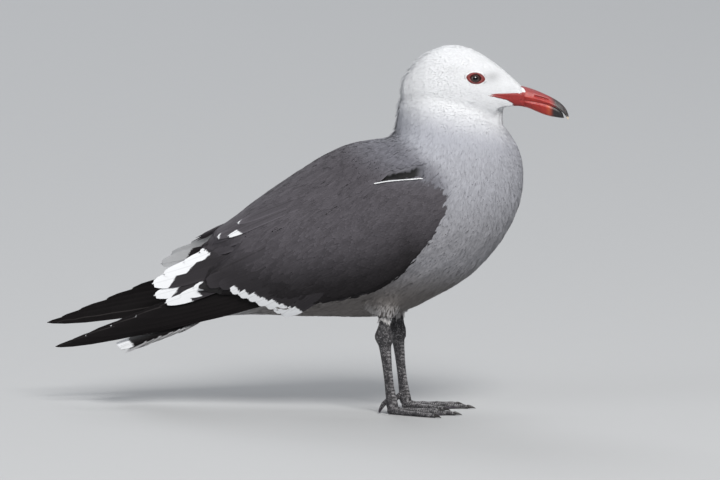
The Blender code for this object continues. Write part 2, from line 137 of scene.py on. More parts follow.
class Value:
    """A node socket on which Python arithmetic adds Math nodes."""

    def __init__(self, recipe: "Recipe", socket: NodeSocket) -> None:
        """Keep the recipe and the socket."""
        self.recipe = recipe
        self.socket = socket

    def maths(self, operation: str, *values: "Value | float") -> "Value":
        """Add a Math node with this operation and return its result."""
        return self.recipe.node("ShaderNodeMath", {"operation": operation}, dict(enumerate(values)))

    def __add__(self, other: "Value | float") -> "Value":
        """Add."""
        return self.maths("ADD", self, other)

    __radd__ = __add__

    def __sub__(self, other: "Value | float") -> "Value":
        """Take away."""
        return self.maths("SUBTRACT", self, other)

    def __rsub__(self, other: float) -> "Value":
        """Take this from a number."""
        return self.maths("SUBTRACT", other, self)

    def __mul__(self, other: "Value | float") -> "Value":
        """Multiply."""
        return self.maths("MULTIPLY", self, other)

    __rmul__ = __mul__

    def __truediv__(self, other: "Value | float") -> "Value":
        """Divide."""
        return self.maths("DIVIDE", self, other)

    def __pow__(self, other: float) -> "Value":
        """Raise to a power."""
        return self.maths("POWER", self, other)

    def size(self) -> "Value":
        """Drop the sign."""
        return self.maths("ABSOLUTE", self)

    def most(self, other: "Value | float") -> "Value":
        """Return the larger of two."""
        return self.maths("MAXIMUM", self, other)

    def fade(self, low: float, high: float) -> "Value":
        """Ease from 0 at low to 1 at high."""
        settings = {"interpolation_type": "SMOOTHSTEP"}
        return self.recipe.node("ShaderNodeMapRange", settings, {0: self, 1: low, 2: high, 3: 0.0, 4: 1.0})


class Recipe:
    """A material that is written as expressions on its sockets."""

    def __init__(self, name: str) -> None:
        """Start an empty material with this name."""
        self.material = bpy.data.materials.new(name)
        self.material.use_nodes = True
        self.tree = self.material.node_tree
        self.tree.nodes.clear()

    def node(
        self, kind: str, settings: dict | None = None, inputs: dict | None = None, output: int | str = 0
    ) -> Value:
        """Add any node.

        Args:
            kind: The node's type.
            settings: What is set first, such as an operation.
            inputs: The value or link of each socket, by number or name.
            output: The socket that is returned.

        Returns:
            The output socket as a value.
        """
        made = self.tree.nodes.new(kind)
        for key, value in (settings or {}).items():
            setattr(made, key, value)
        for key, value in (inputs or {}).items():
            socket = made.inputs[key]
            if isinstance(value, Value):
                self.tree.links.new(value.socket, socket)
            elif socket.type == "RGBA" and len(value) == 3:
                socket.default_value = (*value, 1.0)
            else:
                socket.default_value = value
        return Value(self, made.outputs[output])

    def mix(self, share: Value | float, first: Value | Colour, second: Value | Colour) -> Value:
        """Mix two colours by a share."""
        settings = {"data_type": "RGBA", "blend_type": "MIX", "clamp_factor": True}
        return self.node("ShaderNodeMix", settings, {0: share, 6: first, 7: second}, 2)

    def attribute(self, name: str, output: str = "Vector") -> Value:
        """Read a named attribute of the mesh."""
        return self.node("ShaderNodeAttribute", {"attribute_name": name}, {}, output)

    def place(self) -> Value:
        """Read Object coordinates, in metres."""
        return self.node("ShaderNodeTexCoord", {}, {}, "Object")

    def place_in_mm(self) -> tuple[Value, Value, Value]:
        """Read Object coordinates as three numbers, in millimetres."""
        return self.parts(self.scaled(self.place(), (1000.0, 1000.0, 1000.0)))

    def parts(self, vector: Value) -> tuple[Value, Value, Value]:
        """Split a vector into its three numbers."""
        outputs = self.node("ShaderNodeSeparateXYZ", {}, {0: vector}).socket.node.outputs
        return Value(self, outputs[0]), Value(self, outputs[1]), Value(self, outputs[2])

    def vector(self, x: Value | float, y: Value | float, z: Value | float) -> Value:
        """Join three numbers into a vector."""
        return self.node("ShaderNodeCombineXYZ", {}, {0: x, 1: y, 2: z})

    def scaled(self, vector: Value, scale: Value | tuple[float, float, float]) -> Value:
        """Scale a vector by three numbers."""
        return self.node("ShaderNodeVectorMath", {"operation": "MULTIPLY"}, {0: vector, 1: scale})

    def toned(self, light: Value) -> Value:
        """Read the plumage tone, made lighter or darker by a number."""
        return self.scaled(self.attribute("tone", "Color"), self.vector(light, light, light))

    def noise(self, vector: Value, scale: float, detail: float, rough: float) -> Value:
        """Read a noise texture between 0 and 1."""
        return self.node("ShaderNodeTexNoise", {}, {0: vector, "Scale": scale, "Detail": detail, "Roughness": rough})

    def cells(self, vector: Value, scale: float, feature: str = "F1") -> Value:
        """Read the distance in a Voronoi texture."""
        return self.node("ShaderNodeTexVoronoi", {"feature": feature}, {"Vector": vector, "Scale": scale}, "Distance")

    def bump(self, height: Value, depth: float, strength: float) -> Value:
        """Turn a height between 0 and 1 into a normal, for a relief that is depth metres deep."""
        return self.node("ShaderNodeBump", {}, {"Height": height, "Distance": depth, "Strength": strength})

    def finish(self, inputs: dict) -> Material:
        """Close the recipe with a Principled shader and return the material."""
        shader = self.node("ShaderNodeBsdfPrincipled", {}, inputs)
        end = self.tree.nodes.new("ShaderNodeOutputMaterial")
        self.tree.links.new(shader.socket, end.inputs[0])
        return self.material


# ---- finishes


@dataclass(frozen=True)
class Finish:
    """A named finish, which writes its material from its look."""

    name: str

    def look(self, r: Recipe) -> dict:
        """Return what goes into the Principled shader."""
        raise NotImplementedError

    def material(self) -> Material:
        """Write the material."""
        recipe = Recipe(self.name)
        return recipe.finish(self.look(recipe))


@dataclass(frozen=True)
class PlumeFinish(Finish):
    """The look of feathers: barbs, a shaft, a paler or darker rim and tone from feather to feather."""

    streak: float = 0.16  # how much the barbs change the tone
    pitch: float = 1.6  # barbs in each millimetre
    slant: float = 0.9  # how far the barbs lean from the shaft
    variety: float = 0.10  # change of tone from feather to feather
    shaft: float = 0.0  # strength of the shaft's line
    shaft_tone: Colour = (0.02, 0.018, 0.018)
    rim: float = 0.0  # how much paler the rim is
    relief: float = 0.00022
    roughness: float = 0.72
    sheen: float = 0.18
    specular: float = 0.28
    white_tips: bool = False

    def look(self, r: Recipe) -> dict:
        """Return what goes into the Principled shader."""
        across, along, seed = r.parts(r.attribute("vane"))
        wide, far, shuffle = r.parts(r.attribute("barb"))
        lean = far - wide.size() * self.slant
        barbs = r.noise(r.vector(lean * self.pitch, wide * 0.22, shuffle), 1.0, 3.0, 0.62)
        clumps = r.noise(r.vector(far * 0.10, wide * 0.85, shuffle), 1.0, 2.0, 0.5)
        cloud = r.noise(r.place(), 46.0, 3.0, 0.55)
        change = (barbs - 0.5) * (2.0 * self.streak) + (clumps - 0.5) * self.streak
        rim = across.size().fade(0.6, 1.0).most(along.fade(0.8, 1.0))
        change = change + (seed - 0.5) * (2.0 * self.variety) + (cloud - 0.5) * self.variety + rim * self.rim + 1.0
        tone = r.toned(change)
        if self.white_tips:
            jag = r.noise(r.vector(lean * 0.5, wide * 0.5, shuffle), 1.0, 2.0, 0.6)
            tip = (r.attribute("pale", "Fac") + (jag - 0.5) * 5.0).fade(-0.9, 0.9)
            tone = r.mix(tip, tone, WHITE)
        line = 1.0 - across.size().fade(0.03, 0.11)
        if self.shaft:
            tone = r.mix(line * self.shaft, tone, self.shaft_tone)
        height = barbs * 0.55 + clumps * 0.3 + line * 0.35
        return {
            "Base Color": tone,
            "Roughness": barbs * 0.16 + (self.roughness - 0.08),
            "Sheen Weight": self.sheen,
            "Sheen Roughness": 0.45,
            "Specular IOR Level": self.specular,
            "Normal": r.bump(height, self.relief, 0.8),
        }


@dataclass(frozen=True)
class SkinFinish(Finish):
    """The ground under the coat, in the coat's own tones, with a fine down relief."""

    def look(self, r: Recipe) -> dict:
        """Return what goes into the Principled shader."""
        down = r.noise(r.place(), 900.0, 4.0, 0.65)
        tone = r.toned(down * 0.2 + 0.85)
        return {"Base Color": tone, "Roughness": down * 0.2 + 0.7, "Normal": r.bump(down, 0.0003, 0.8)}


@dataclass(frozen=True)
class HornFinish(Finish):
    """The bill's horn: red, duller above, with a dark band before an ivory tip."""

    red: Colour = (0.31, 0.018, 0.019)
    dull: Colour = (0.235, 0.046, 0.050)
    bright: Colour = (0.42, 0.032, 0.018)
    band: Colour = (0.016, 0.014, 0.015)
    ash: Colour = (0.20, 0.18, 0.18)
    ivory: Colour = (0.66, 0.56, 0.44)
    upper: bool = True
    band_from: float = 190.5  # x in mm where the dark band starts
    band_full: float = 195.5
    ivory_below: float = 229.6  # z in mm of the ivory tip
    ivory_from: float = 200.5

    def look(self, r: Recipe) -> dict:
        """Return what goes into the Principled shader."""
        x, y, z = r.place_in_mm()
        grain = r.noise(r.vector(x * 0.25, y * 2.2, z * 2.2), 1.0, 4.0, 0.6)
        mottle = r.noise(r.place(), 420.0, 3.0, 0.6)
        warm = r.mix(mottle.fade(0.35, 0.7), self.red, self.bright)
        if self.upper:
            above = (z + x * 0.30 - 299.5 + (grain - 0.5) * 2.0).fade(-2.0, 3.5)
            tone = r.mix(above * 0.85, warm, self.dull)
            pale = ((z + x * 0.55 - 354.0).size() * -1.0 + 2.4).fade(0.0, 2.4) * x.fade(184.0, 190.0)
            tone = r.mix(pale * 0.45 * mottle, tone, (0.62, 0.42, 0.38))
            edge = x + (grain - 0.5) * 5.0 + (z - 240.0) * 0.42
        else:
            tone = r.mix((z * -1.0 + 236.5).fade(-2.5, 3.0) * 0.6, warm, self.bright)
            tone = r.mix(((x - 190.0).size() * -1.0 + 3.5).fade(0.0, 3.5) * 0.55 * mottle, tone, (0.72, 0.20, 0.06))
            edge = x + (grain - 0.5) * 2.0 + 1.6
        dark = r.mix(grain.fade(0.35, 0.75) * (0.75 if self.upper else 0.10), self.band, self.ash)
        tone = r.mix(edge.fade(self.band_from, self.band_full), tone, dark)
        low = (z * -1.0 + self.ivory_below + (grain - 0.5)).fade(-0.8, 0.8)
        tone = r.mix(low * x.fade(self.ivory_from, self.ivory_from + 1.2), tone, self.ivory)
        scratches = r.noise(r.vector(x * 0.5, y * 5.0, z * 5.0), 1.0, 4.0, 0.7)
        return {
            "Base Color": tone,
            "Roughness": scratches * 0.22 + 0.26,
            "Specular IOR Level": 0.5,
            "Subsurface Weight": 0.06,
            "Subsurface Scale": 0.002,
            "Normal": r.bump(scratches * 0.6 + grain * 0.4, 0.00025, 0.55),
        }


@dataclass(frozen=True)
class EyeFinish(Finish):
    """A dark brown iris round a black pupil, under a wet cornea."""

    centre: Pair = EYE_SPOT
    pupil: float = 1.8
    iris: float = 3.9
    ash: Colour = (0.050, 0.046, 0.044)
    brown: Colour = (0.040, 0.015, 0.012)
    rim: Colour = (0.014, 0.005, 0.005)

    def look(self, r: Recipe) -> dict:
        """Return what goes into the Principled shader."""
        x, _, z = r.place_in_mm()
        x, z = x - self.centre[0], z - self.centre[1]
        far = (x * x + z * z) ** 0.5
        spoke = r.noise(r.vector(x / (far + 0.3) * 5.0, z / (far + 0.3) * 5.0, far * 0.35), 1.0, 3.0, 0.6)
        near = r.mix(spoke.fade(0.3, 0.75), self.brown, self.ash)
        tone = r.mix((far + (spoke - 0.5) * 1.2).fade(2.2, 3.2), near, self.brown)
        tone = r.mix(far.fade(self.iris - 0.5, self.iris), tone, self.rim)
        tone = r.mix(1.0 - far.fade(self.pupil - 0.12, self.pupil + 0.12), tone, (0.001, 0.001, 0.001))
        return {
            "Base Color": tone,
            "Roughness": 0.3,
            "Specular IOR Level": 0.05,
            "Coat Weight": 1.0,
            "Coat Roughness": 0.015,
        }


@dataclass(frozen=True)
class LidFinish(Finish):
    """Bare red skin round the eye and along the gape, finely wrinkled."""

    red: Colour = (0.26, 0.020, 0.018)
    deep: Colour = (0.10, 0.009, 0.009)

    def look(self, r: Recipe) -> dict:
        """Return what goes into the Principled shader."""
        folds = r.noise(r.place(), 1500.0, 3.0, 0.6)
        pores = r.cells(r.place(), 2600.0)
        tone = r.mix(folds.fade(0.35, 0.7), self.deep, self.red)
        return {
            "Base Color": tone,
            "Roughness": pores * 0.2 + 0.34,
            "Subsurface Weight": 0.1,
            "Subsurface Scale": 0.001,
            "Normal": r.bump(pores * 0.5 + folds * 0.5, 0.00012, 0.8),
        }


@dataclass(frozen=True)
class ScaleFinish(Finish):
    """Leathery leg skin: small scales with painted highlights on their middles and on the front scutes, darker and
    purplish on the webs.
    """

    dark: Colour = (0.014, 0.0125, 0.015)
    # the pale of the painted highlights on the scales
    worn: Colour = (0.36, 0.35, 0.36)
    web: Colour = (0.030, 0.022, 0.034)

    def look(self, r: Recipe) -> dict:
        """Return what goes into the Principled shader."""
        place = r.place()
        net = r.cells(place, 1050.0, "DISTANCE_TO_EDGE")
        fine = r.cells(place, 1900.0)
        glint_and_roughness = r.noise(place, 420.0, 3.0, 0.6)
        scute = r.attribute("scute", "Fac")
        crown = r.attribute("crown", "Fac")
        middle = net.fade(0.07, 0.32)
        # painted highlights: pale middles on the small scales and pale crowns on the front scutes
        tone = r.mix(middle * glint_and_roughness.fade(0.34, 0.70) * 0.9, self.dark, self.worn)
        tone = r.mix(crown * scute.fade(0.55, 0.95) * glint_and_roughness.fade(0.3, 0.6) * 0.6, tone, self.worn)
        tone = r.mix(r.attribute("web", "Fac") * 0.92, tone, self.web)
        height = middle * 0.6 + fine * 0.2 + scute * 0.2
        return {
            "Base Color": tone,
            "Roughness": glint_and_roughness * 0.25 + 0.38,
            "Specular IOR Level": 0.45,
            "Normal": r.bump(height, 0.0004, 0.75),
        }


@dataclass(frozen=True)
class ClawFinish(Finish):
    """Smooth black claws, browner at the tip."""

    def look(self, r: Recipe) -> dict:
        """Return what goes into the Principled shader."""
        grain = r.noise(r.scaled(r.place(), (200.0, 1800.0, 1800.0)), 1.0, 3.0, 0.6)
        tone = r.mix(grain.fade(0.3, 0.8), (0.010, 0.009, 0.009), (0.034, 0.028, 0.025))
        return {"Base Color": tone, "Roughness": grain * 0.2 + 0.24, "Normal": r.bump(grain, 0.0001, 0.5)}


@dataclass(frozen=True)
class FloorFinish(Finish):
    """A plain pale studio floor."""

    tone: Colour = (0.45, 0.455, 0.46)

    def look(self, r: Recipe) -> dict:
        """Return what goes into the Principled shader."""
        grain = r.noise(r.place(), 60.0, 3.0, 0.5)
        tone = r.mix(grain * 0.25, self.tone, (0.42, 0.425, 0.43))
        return {"Base Color": tone, "Roughness": 0.85}


# ---- meshes and surfaces


def show(name: str, mesh: Mesh, material: Material) -> Object:
    """Make an object of a mesh, dress it and let it ride with the body.

    Args:
        name: The piece's name.
        mesh: Its mesh, already in place.
        material: Its material.

    Returns:
        The new object.
    """
    piece = bpy.data.objects.new(name, mesh)
    bpy.context.scene.collection.objects.link(piece)
    mesh.name = name
    mesh.materials.clear()
    mesh.materials.append(material)
    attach(piece, "root")
    LOG.info("%s: %d vertices, %d faces", name, len(mesh.vertices), len(mesh.polygons))
    return piece


def read(data: bpy.types.bpy_prop_collection, key: str, width: int, kind: type = np.float32) -> Array:
    """Read one property of a part of a mesh.

    Args:
        data: The mesh's vertices, edges or triangles.
        key: The property's name.
        width: How many numbers it has.
        kind: What kind of numbers they are.

    Returns:
        The numbers, a row for each vertex, edge or triangle.
    """
    found = np.empty(len(data) * width, kind)
    data.foreach_get(key, found)
    return found.reshape(-1, width)


def points_of(mesh: Mesh) -> Array:
    """Return the mesh's vertices as rows."""
    return read(mesh.vertices, "co", 3).astype(float)


def normals_of(mesh: Mesh) -> Array:
    """Return the mesh's vertex normals as rows."""
    return read(mesh.vertex_normals, "vector", 3).astype(float)


def put_points(mesh: Mesh, rows: Array) -> None:
    """Move the mesh's vertices to these rows."""
    mesh.vertices.foreach_set("co", np.asarray(rows, np.float32).ravel())
    mesh.update()


def keep(mesh: Mesh, name: str, rows: Array) -> None:
    """Store numbers, vectors or colours on the mesh's vertices.

    Args:
        mesh: The mesh.
        name: The attribute's name.
        rows: One number, three or four for each vertex.
    """
    rows = np.asarray(rows, np.float32)
    if rows.ndim == 1:
        mesh.attributes.new(name, "FLOAT", "POINT").data.foreach_set("value", rows)
    elif rows.shape[1] == 4:
        mesh.attributes.new(name, "FLOAT_COLOR", "POINT").data.foreach_set("color", rows.ravel())
    else:
        mesh.attributes.new(name, "FLOAT_VECTOR", "POINT").data.foreach_set("vector", rows.ravel())


def keep_tone(mesh: Mesh, rows: Array) -> None:
    """Store the plumage tone of every vertex."""
    keep(mesh, "tone", np.hstack([rows, np.ones((len(rows), 1))]))


def fuse(name: str, parts: Sequence[Mesh], voxel: float, rounds: int) -> Mesh:
    """Fuse closed meshes into one smooth closed skin.

    Args:
        name: The new mesh's name.
        parts: The meshes.
        voxel: The fineness of the skin in metres.
        rounds: How many times the skin is smoothed.

    Returns:
        The largest closed shell of the result.
    """
    bm = bmesh.new()
    for part in parts:
        bm.from_mesh(part)
    bmesh.ops.remove_doubles(bm, verts=bm.verts, dist=SAME_SPOT)
    rough = bpy.data.meshes.new(name)
    bm.to_mesh(rough)
    bm.free()
    holder = bpy.data.objects.new(name, rough)
    bpy.context.scene.collection.objects.link(holder)
    remesh = holder.modifiers.new("fuse", "REMESH")
    remesh.mode = "VOXEL"
    remesh.voxel_size = voxel
    remesh.use_smooth_shade = True
    shape = bpy.data.meshes.new_from_object(holder.evaluated_get(bpy.context.evaluated_depsgraph_get()))
    bpy.data.objects.remove(holder)
    bpy.data.meshes.remove(rough)
    bm = bmesh.new()
    bm.from_mesh(shape)
    bm.verts.ensure_lookup_table()
    seen = np.zeros(len(bm.verts), int)
    shell = 0
    for start in bm.verts:
        if seen[start.index]:
            continue
        shell += 1
        seen[start.index] = shell
        front = [start]
        while front:
            spot = front.pop()
            for edge in spot.link_edges:
                other = edge.other_vert(spot)
                if not seen[other.index]:
                    seen[other.index] = shell
                    front.append(other)
    main_shell = np.bincount(seen)[1:].argmax() + 1
    bmesh.ops.delete(bm, geom=[v for v in bm.verts if seen[v.index] != main_shell], context="VERTS")
    bm.to_mesh(shape)
    bm.free()
    put_points(shape, relax(shape, points_of(shape), rounds))
    return shape


def relax(mesh: Mesh, rows: Array, rounds: int, shrink: float = 0.53) -> Array:
    """Smooth rows that belong to the mesh's vertices without drawing the shape in.

    Args:
        mesh: The mesh whose edges are followed.
        rows: What is smoothed.
        rounds: How many times.
        shrink: The way back after each step; 0 lets the shape draw in.

    Returns:
        The smoothed rows.
    """
    a, b = read(mesh.edges, "vertices", 2, np.int32).T
    count = np.maximum(np.bincount(a, minlength=len(rows)) + np.bincount(b, minlength=len(rows)), 1)[:, None]
    for _ in range(rounds):
        for step in (0.5, -shrink):
            pulls = [np.bincount(a, r[b], len(rows)) + np.bincount(b, r[a], len(rows)) for r in rows.T]
            rows = rows + step * (np.stack(pulls, 1) / count - rows)
    return rows


class Ground:
    """A smooth surface that can be asked for its nearest points."""

    def __init__(self, mesh: Mesh) -> None:
        """Read the mesh's triangles and normals."""
        mesh.calc_loop_triangles()
        self.corners = read(mesh.loop_triangles, "vertices", 3, np.int32)
        self.points = points_of(mesh)
        self.normals = normals_of(mesh)
        self.tree = BVHTree.FromPolygons(self.points.tolist(), self.corners.tolist(), all_triangles=True)

    def weights(self, spots: Array, faces: Array) -> Array:
        """Weigh each spot's three corners.

        Args:
            spots: Points in triangles.
            faces: The triangle of each.

        Returns:
            The share of each corner, which add up to 1.
        """
        a, b, c = (self.points[self.corners[faces, k]] for k in range(3))
        u, v, w = b - a, c - a, spots - a
        uu, uv, vv = (u * u).sum(1), (u * v).sum(1), (v * v).sum(1)
        wu, wv = (w * u).sum(1), (w * v).sum(1)
        base = np.maximum(uu * vv - uv * uv, 1e-30)
        s, t = (vv * wu - uv * wv) / base, (uu * wv - uv * wu) / base
        return np.clip(np.stack([1 - s - t, s, t], 1), 0, 1)

    def triangles(self) -> tuple[Array, Array]:
        """Return each triangle's middle, and its normal as long as twice its area."""
        a, b, c = (self.points[self.corners[:, k]] for k in range(3))
        return (a + b + c) / 3, np.cross(b - a, c - a)

    def nearest(self, where: Array) -> tuple[Array, Array]:
        """Find the nearest spot of the surface for each row.

        Args:
            where: The points to start from.

        Returns:
            The spots and the surface's smooth normals there.
        """
        found = [self.tree.find_nearest(row) for row in where.tolist()]
        spots = np.array([hit[0][:] for hit in found])
        faces = np.array([hit[2] for hit in found])
        shares = self.weights(spots, faces)[..., None]
        return spots, unit((self.normals[self.corners[faces]] * shares).sum(1))

    def from_side(self, x: float, z: float, side: Side) -> Array:
        """Look at the surface from one side.

        Args:
            x: How far forward, in metres.
            z: The height.
            side: The side.

        Returns:
            Where a level line from far out first meets the surface.
        """
        start = Vector((x, 0.3 * side.value, z))
        hit = self.tree.ray_cast(start, Vector((0.0, -side.value, 0.0)))
        if hit[0] is None or hit[0].y * side.value < 0:
            hit = self.tree.find_nearest(Vector((x, 0.03 * side.value, z)))
        return np.array(hit[0][:])

    def all_from_side(self, x: Array, z: Array, side: Side) -> Array:
        """Return what from_side() returns for many places."""
        return np.array([self.from_side(a, b, side) for a, b in zip(x, z)])


class FittedSheet:
    """A smooth sheet fitted through one face of a node, which runs on past its edges."""

    def __init__(self, node: str, axis: int, facing: float, powers: tuple[int, int] = (3, 2)) -> None:
        """Fit the sheet.

        Args:
            node: The CAD node to fit.
            axis: The axis the sheet is a height along, 1 for a wing and 2 for the tail.
            facing: The sign of the face's side on that axis.
            powers: The highest powers of the two other coordinates.
        """
        self.axis, self.facing = axis, facing
        self.others = [k for k in range(3) if k != axis]
        self.powers = [(i, j) for i in range(powers[0] + 1) for j in range(powers[1] + 1) if i + j <= max(powers)]
        bm = bmesh.new()
        bm.from_mesh(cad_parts[node].data)
        bmesh.ops.remove_doubles(bm, verts=bm.verts, dist=SAME_SPOT)
        bm.normal_update()
        faces = [face for face in bm.faces if face.normal[axis] * facing > 0.45]
        taken = np.array([(*face.calc_center_median(), face.calc_area()) for face in faces])
        bm.free()
        share = np.sqrt(taken[:, 3:])
        self.fit = np.linalg.lstsq(self.terms(taken) * share, taken[:, axis, None] * share, rcond=1e-6)[0][:, 0]

    def terms(self, rows: Array) -> Array:
        """Return the powers of the two other coordinates, in decimetres."""
        a, b = (rows[:, k] * 10.0 for k in self.others)
        return np.stack([a**i * b**j for i, j in self.powers], 1)

    def height(self, rows: Array) -> Array:
        """Return the sheet's height along its axis at each row."""
        return self.terms(rows) @ self.fit

    def nearest(self, where: Array) -> tuple[Array, Array]:
        """Drop each row on the sheet.

        Args:
            where: The points to drop.

        Returns:
            The spots and the sheet's normals there.
        """
        spots = where.copy()
        spots[:, self.axis] = self.height(where)
        normals = np.zeros_like(spots)
        normals[:, self.axis] = self.facing
        for k in self.others:
            step = np.zeros(3)
            step[k] = 0.5 * MM
            slope = (self.height(where + step) - self.height(where - step)) / MM
            normals[:, k] = -self.facing * slope
        return spots, unit(normals)


# ---- the lie of the coat


@dataclass(frozen=True)
class Guide:
    """How the coat lies at one named spot: where, which way, and the size of its tufts, in mm."""

    spot: tuple[float, float, float]  # y is the distance from the midline
    way: tuple[float, float, float]  # y points away from the midline
    length: float
    width: float
    depth: float


GUIDES = {
    "bill_top": Guide((168, 0, 252), (-1.0, 0.0, 0.6), 2.8, 1.2, 0.35),
    "lore": Guide((160, 9, 248), (-1.0, 0.2, 0.1), 3.0, 1.2, 0.4),
    "gape": Guide((150, 13, 241), (-1.0, 0.2, -0.3), 3.4, 1.3, 0.5),
    "chin": Guide((163, 0, 236), (-1.0, 0.0, -0.3), 3.2, 1.3, 0.45),
    "forehead": Guide((149, 0, 268), (-1.0, 0.0, 0.4), 4.4, 1.5, 0.55),
    "eye": Guide((135, 18, 261), (-1.0, 0.1, -0.05), 3.2, 1.2, 0.4),
    "brow": Guide((132, 14, 273), (-1.0, 0.1, 0.1), 4.6, 1.6, 0.6),
    "crown": Guide((116, 0, 284), (-1.0, 0.0, 0.0), 6.0, 1.9, 0.8),
    "hind_crown": Guide((88, 0, 272), (-0.75, 0.0, -0.7), 7.5, 2.1, 1.1),
    "ear": Guide((104, 21, 254), (-0.9, 0.0, -0.45), 6.2, 2.0, 0.9),
    "cheek": Guide((122, 21, 240), (-0.85, 0.05, -0.5), 6.0, 2.0, 0.8),
    "nape": Guide((76, 0, 252), (-0.3, 0.0, -1.0), 8.6, 2.3, 1.3),
    "hind_neck": Guide((72, 0, 230), (-0.3, 0.0, -1.0), 9.5, 2.6, 1.4),
    "throat": Guide((150, 0, 223), (-0.6, 0.0, -0.8), 5.6, 1.8, 0.8),
    "throat_side": Guide((136, 17, 226), (-0.5, 0.1, -0.85), 6.6, 2.0, 0.9),
    "neck_side": Guide((104, 30, 222), (-0.35, 0.25, -0.9), 9.0, 2.6, 1.2),
    "fore_neck": Guide((161, 0, 204), (0.15, 0.0, -1.0), 9.0, 2.6, 1.2),
    "low_neck": Guide((128, 38, 202), (-0.2, 0.2, -1.0), 10.0, 2.8, 1.4),
    "collar": Guide((84, 36, 212), (-0.75, 0.3, -0.6), 10.0, 3.0, 1.4),
    "mantle": Guide((58, 8, 210), (-0.95, 0.1, -0.35), 12.5, 3.8, 1.5),
    "shoulder": Guide((119, 46, 182), (-0.5, 0.1, -0.9), 12.0, 3.0, 1.6),
    "breast": Guide((169, 0, 165), (-0.05, 0.0, -1.0), 12.0, 3.0, 1.7),
    "breast_side": Guide((140, 41, 165), (-0.3, 0.15, -1.0), 12.5, 3.0, 1.7),
    "low_breast": Guide((150, 0, 125), (-0.6, 0.0, -0.8), 13.0, 3.0, 1.8),
    "low_side": Guide((122, 46, 132), (-0.7, 0.05, -0.72), 14.0, 2.9, 1.9),
    "fore_belly": Guide((115, 0, 100), (-0.85, 0.0, -0.5), 14.0, 3.2, 1.8),
    "flank": Guide((90, 45, 104), (-0.82, -0.1, -0.55), 15.0, 3.0, 1.9),
    "belly": Guide((60, 0, 76), (-1.0, 0.0, -0.1), 14.0, 3.4, 1.7),
    "belly_side": Guide((40, 34, 86), (-1.0, -0.05, -0.3), 15.0, 3.4, 1.7),
    "thigh": Guide((66, 22, 81), (-0.25, 0.0, -1.0), 7.0, 2.0, 1.0),
    "vent": Guide((-30, 0, 72), (-1.0, 0.0, 0.0), 17.0, 4.2, 1.6),
    "under_tail": Guide((-85, 0, 63), (-1.0, 0.0, -0.28), 20.0, 4.6, 1.4),
    "back": Guide((0, 5, 165), (-0.87, 0.0, -0.5), 14.0, 4.0, 1.5),
    "rump": Guide((-60, 0, 100), (-0.87, 0.0, -0.5), 16.0, 4.4, 1.5),
}

WING_GUIDES = {
    "shoulder_top": Guide((88, 30, 203), (-0.72, 0.35, -0.6), 10.0, 3.6, 1.3),
    "scapular_top": Guide((48, 10, 208), (-0.92, 0.1, -0.38), 14.0, 4.6, 1.4),
    "scapular_front": Guide((92, 44, 193), (-0.55, 0.1, -0.83), 9.5, 3.2, 1.4),
    "scapular_low": Guide((66, 47, 181), (-0.62, 0.05, -0.78), 15.0, 4.2, 1.5),
    "scapular_mid": Guide((30, 30, 185), (-0.86, 0.12, -0.5), 19.0, 5.4, 1.4),
    "scapular_under": Guide((30, 45, 158), (-0.75, 0.0, -0.66), 18.0, 5.0, 1.4),
    "scapular_rear": Guide((-20, 15, 165), (-0.88, 0.1, -0.48), 24.0, 6.4, 1.3),
    "scapular_end": Guide((-50, 22, 140), (-0.84, 0.0, -0.55), 26.0, 7.0, 1.2),
    "wrist": Guide((116, 46, 174), (-0.85, 0.1, -0.5), 7.0, 2.8, 1.0),
    "bend": Guide((110, 46, 150), (-0.85, 0.1, -0.5), 8.0, 3.0, 1.1),
    "covert_top": Guide((80, 48, 176), (-0.9, 0.0, -0.4), 9.0, 3.6, 1.2),
    "covert_mid": Guide((60, 47, 140), (-0.86, 0.0, -0.5), 13.0, 5.0, 1.3),
    "covert_low": Guide((66, 43, 108), (-0.93, 0.0, -0.36), 13.0, 4.6, 1.2),
    "covert_rear": Guide((0, 40, 120), (-0.80, 0.0, -0.6), 22.0, 7.0, 1.3),
    "covert_foot": Guide((10, 34, 90), (-0.95, 0.0, -0.3), 22.0, 6.5, 1.2),
    "covert_end": Guide((-60, 31, 105), (-0.76, 0.0, -0.65), 24.0, 7.4, 1.1),
}


class Lie:
    """The lie of the coat anywhere, worked out from named guides."""

    def __init__(self, guides: dict[str, Guide], fine: tuple[float, float, float]) -> None:
        """Store the guides as arrays, in metres, with their lengths, widths and depths scaled by fine."""
        self.spots = np.array([g.spot for g in guides.values()]) * MM
        self.ways = unit(np.array([g.way for g in guides.values()]))
        self.sizes = np.array([(g.length, g.width, g.depth) for g in guides.values()]) * np.array(fine) * MM

    def at(self, where: Array) -> tuple[Array, Array]:
        """Work out the lie.

        Args:
            where: Points in metres.

        Returns:
            The ways of the coat and the (length, width, depth) of its tufts at each point.
        """
        sign = np.where(where[:, 1] < 0, -1.0, 1.0)
        folded = where * np.stack([np.ones_like(sign), sign, np.ones_like(sign)], 1)
        far = ((folded[:, None, :] - self.spots[None]) ** 2).sum(2) + (4.0 * MM) ** 2
        share = far**-2.2
        share /= share.sum(1, keepdims=True)
        ways = share @ self.ways
        ways[:, 1] *= sign * smooth(np.abs(where[:, 1]), 0.0, 6.0 * MM)
        return unit(ways), share @ self.sizes


# ---- the markings and painted shade


WING_EDGE = np.array(  # x and z in mm down the folded wing's front edge and back along its lower one
    [(105, 182.6), (114, 179.7), (118.4, 172.8), (119.9, 165.1), (116.8, 155), (111.3, 142.5), (102, 130.7)]
    + [(93.4, 119.7), (80.9, 107.9), (62.9, 97.1), (33.2, 89.2), (2.7, 84), (-30, 84), (-60, 92), (-75, 100)]
)


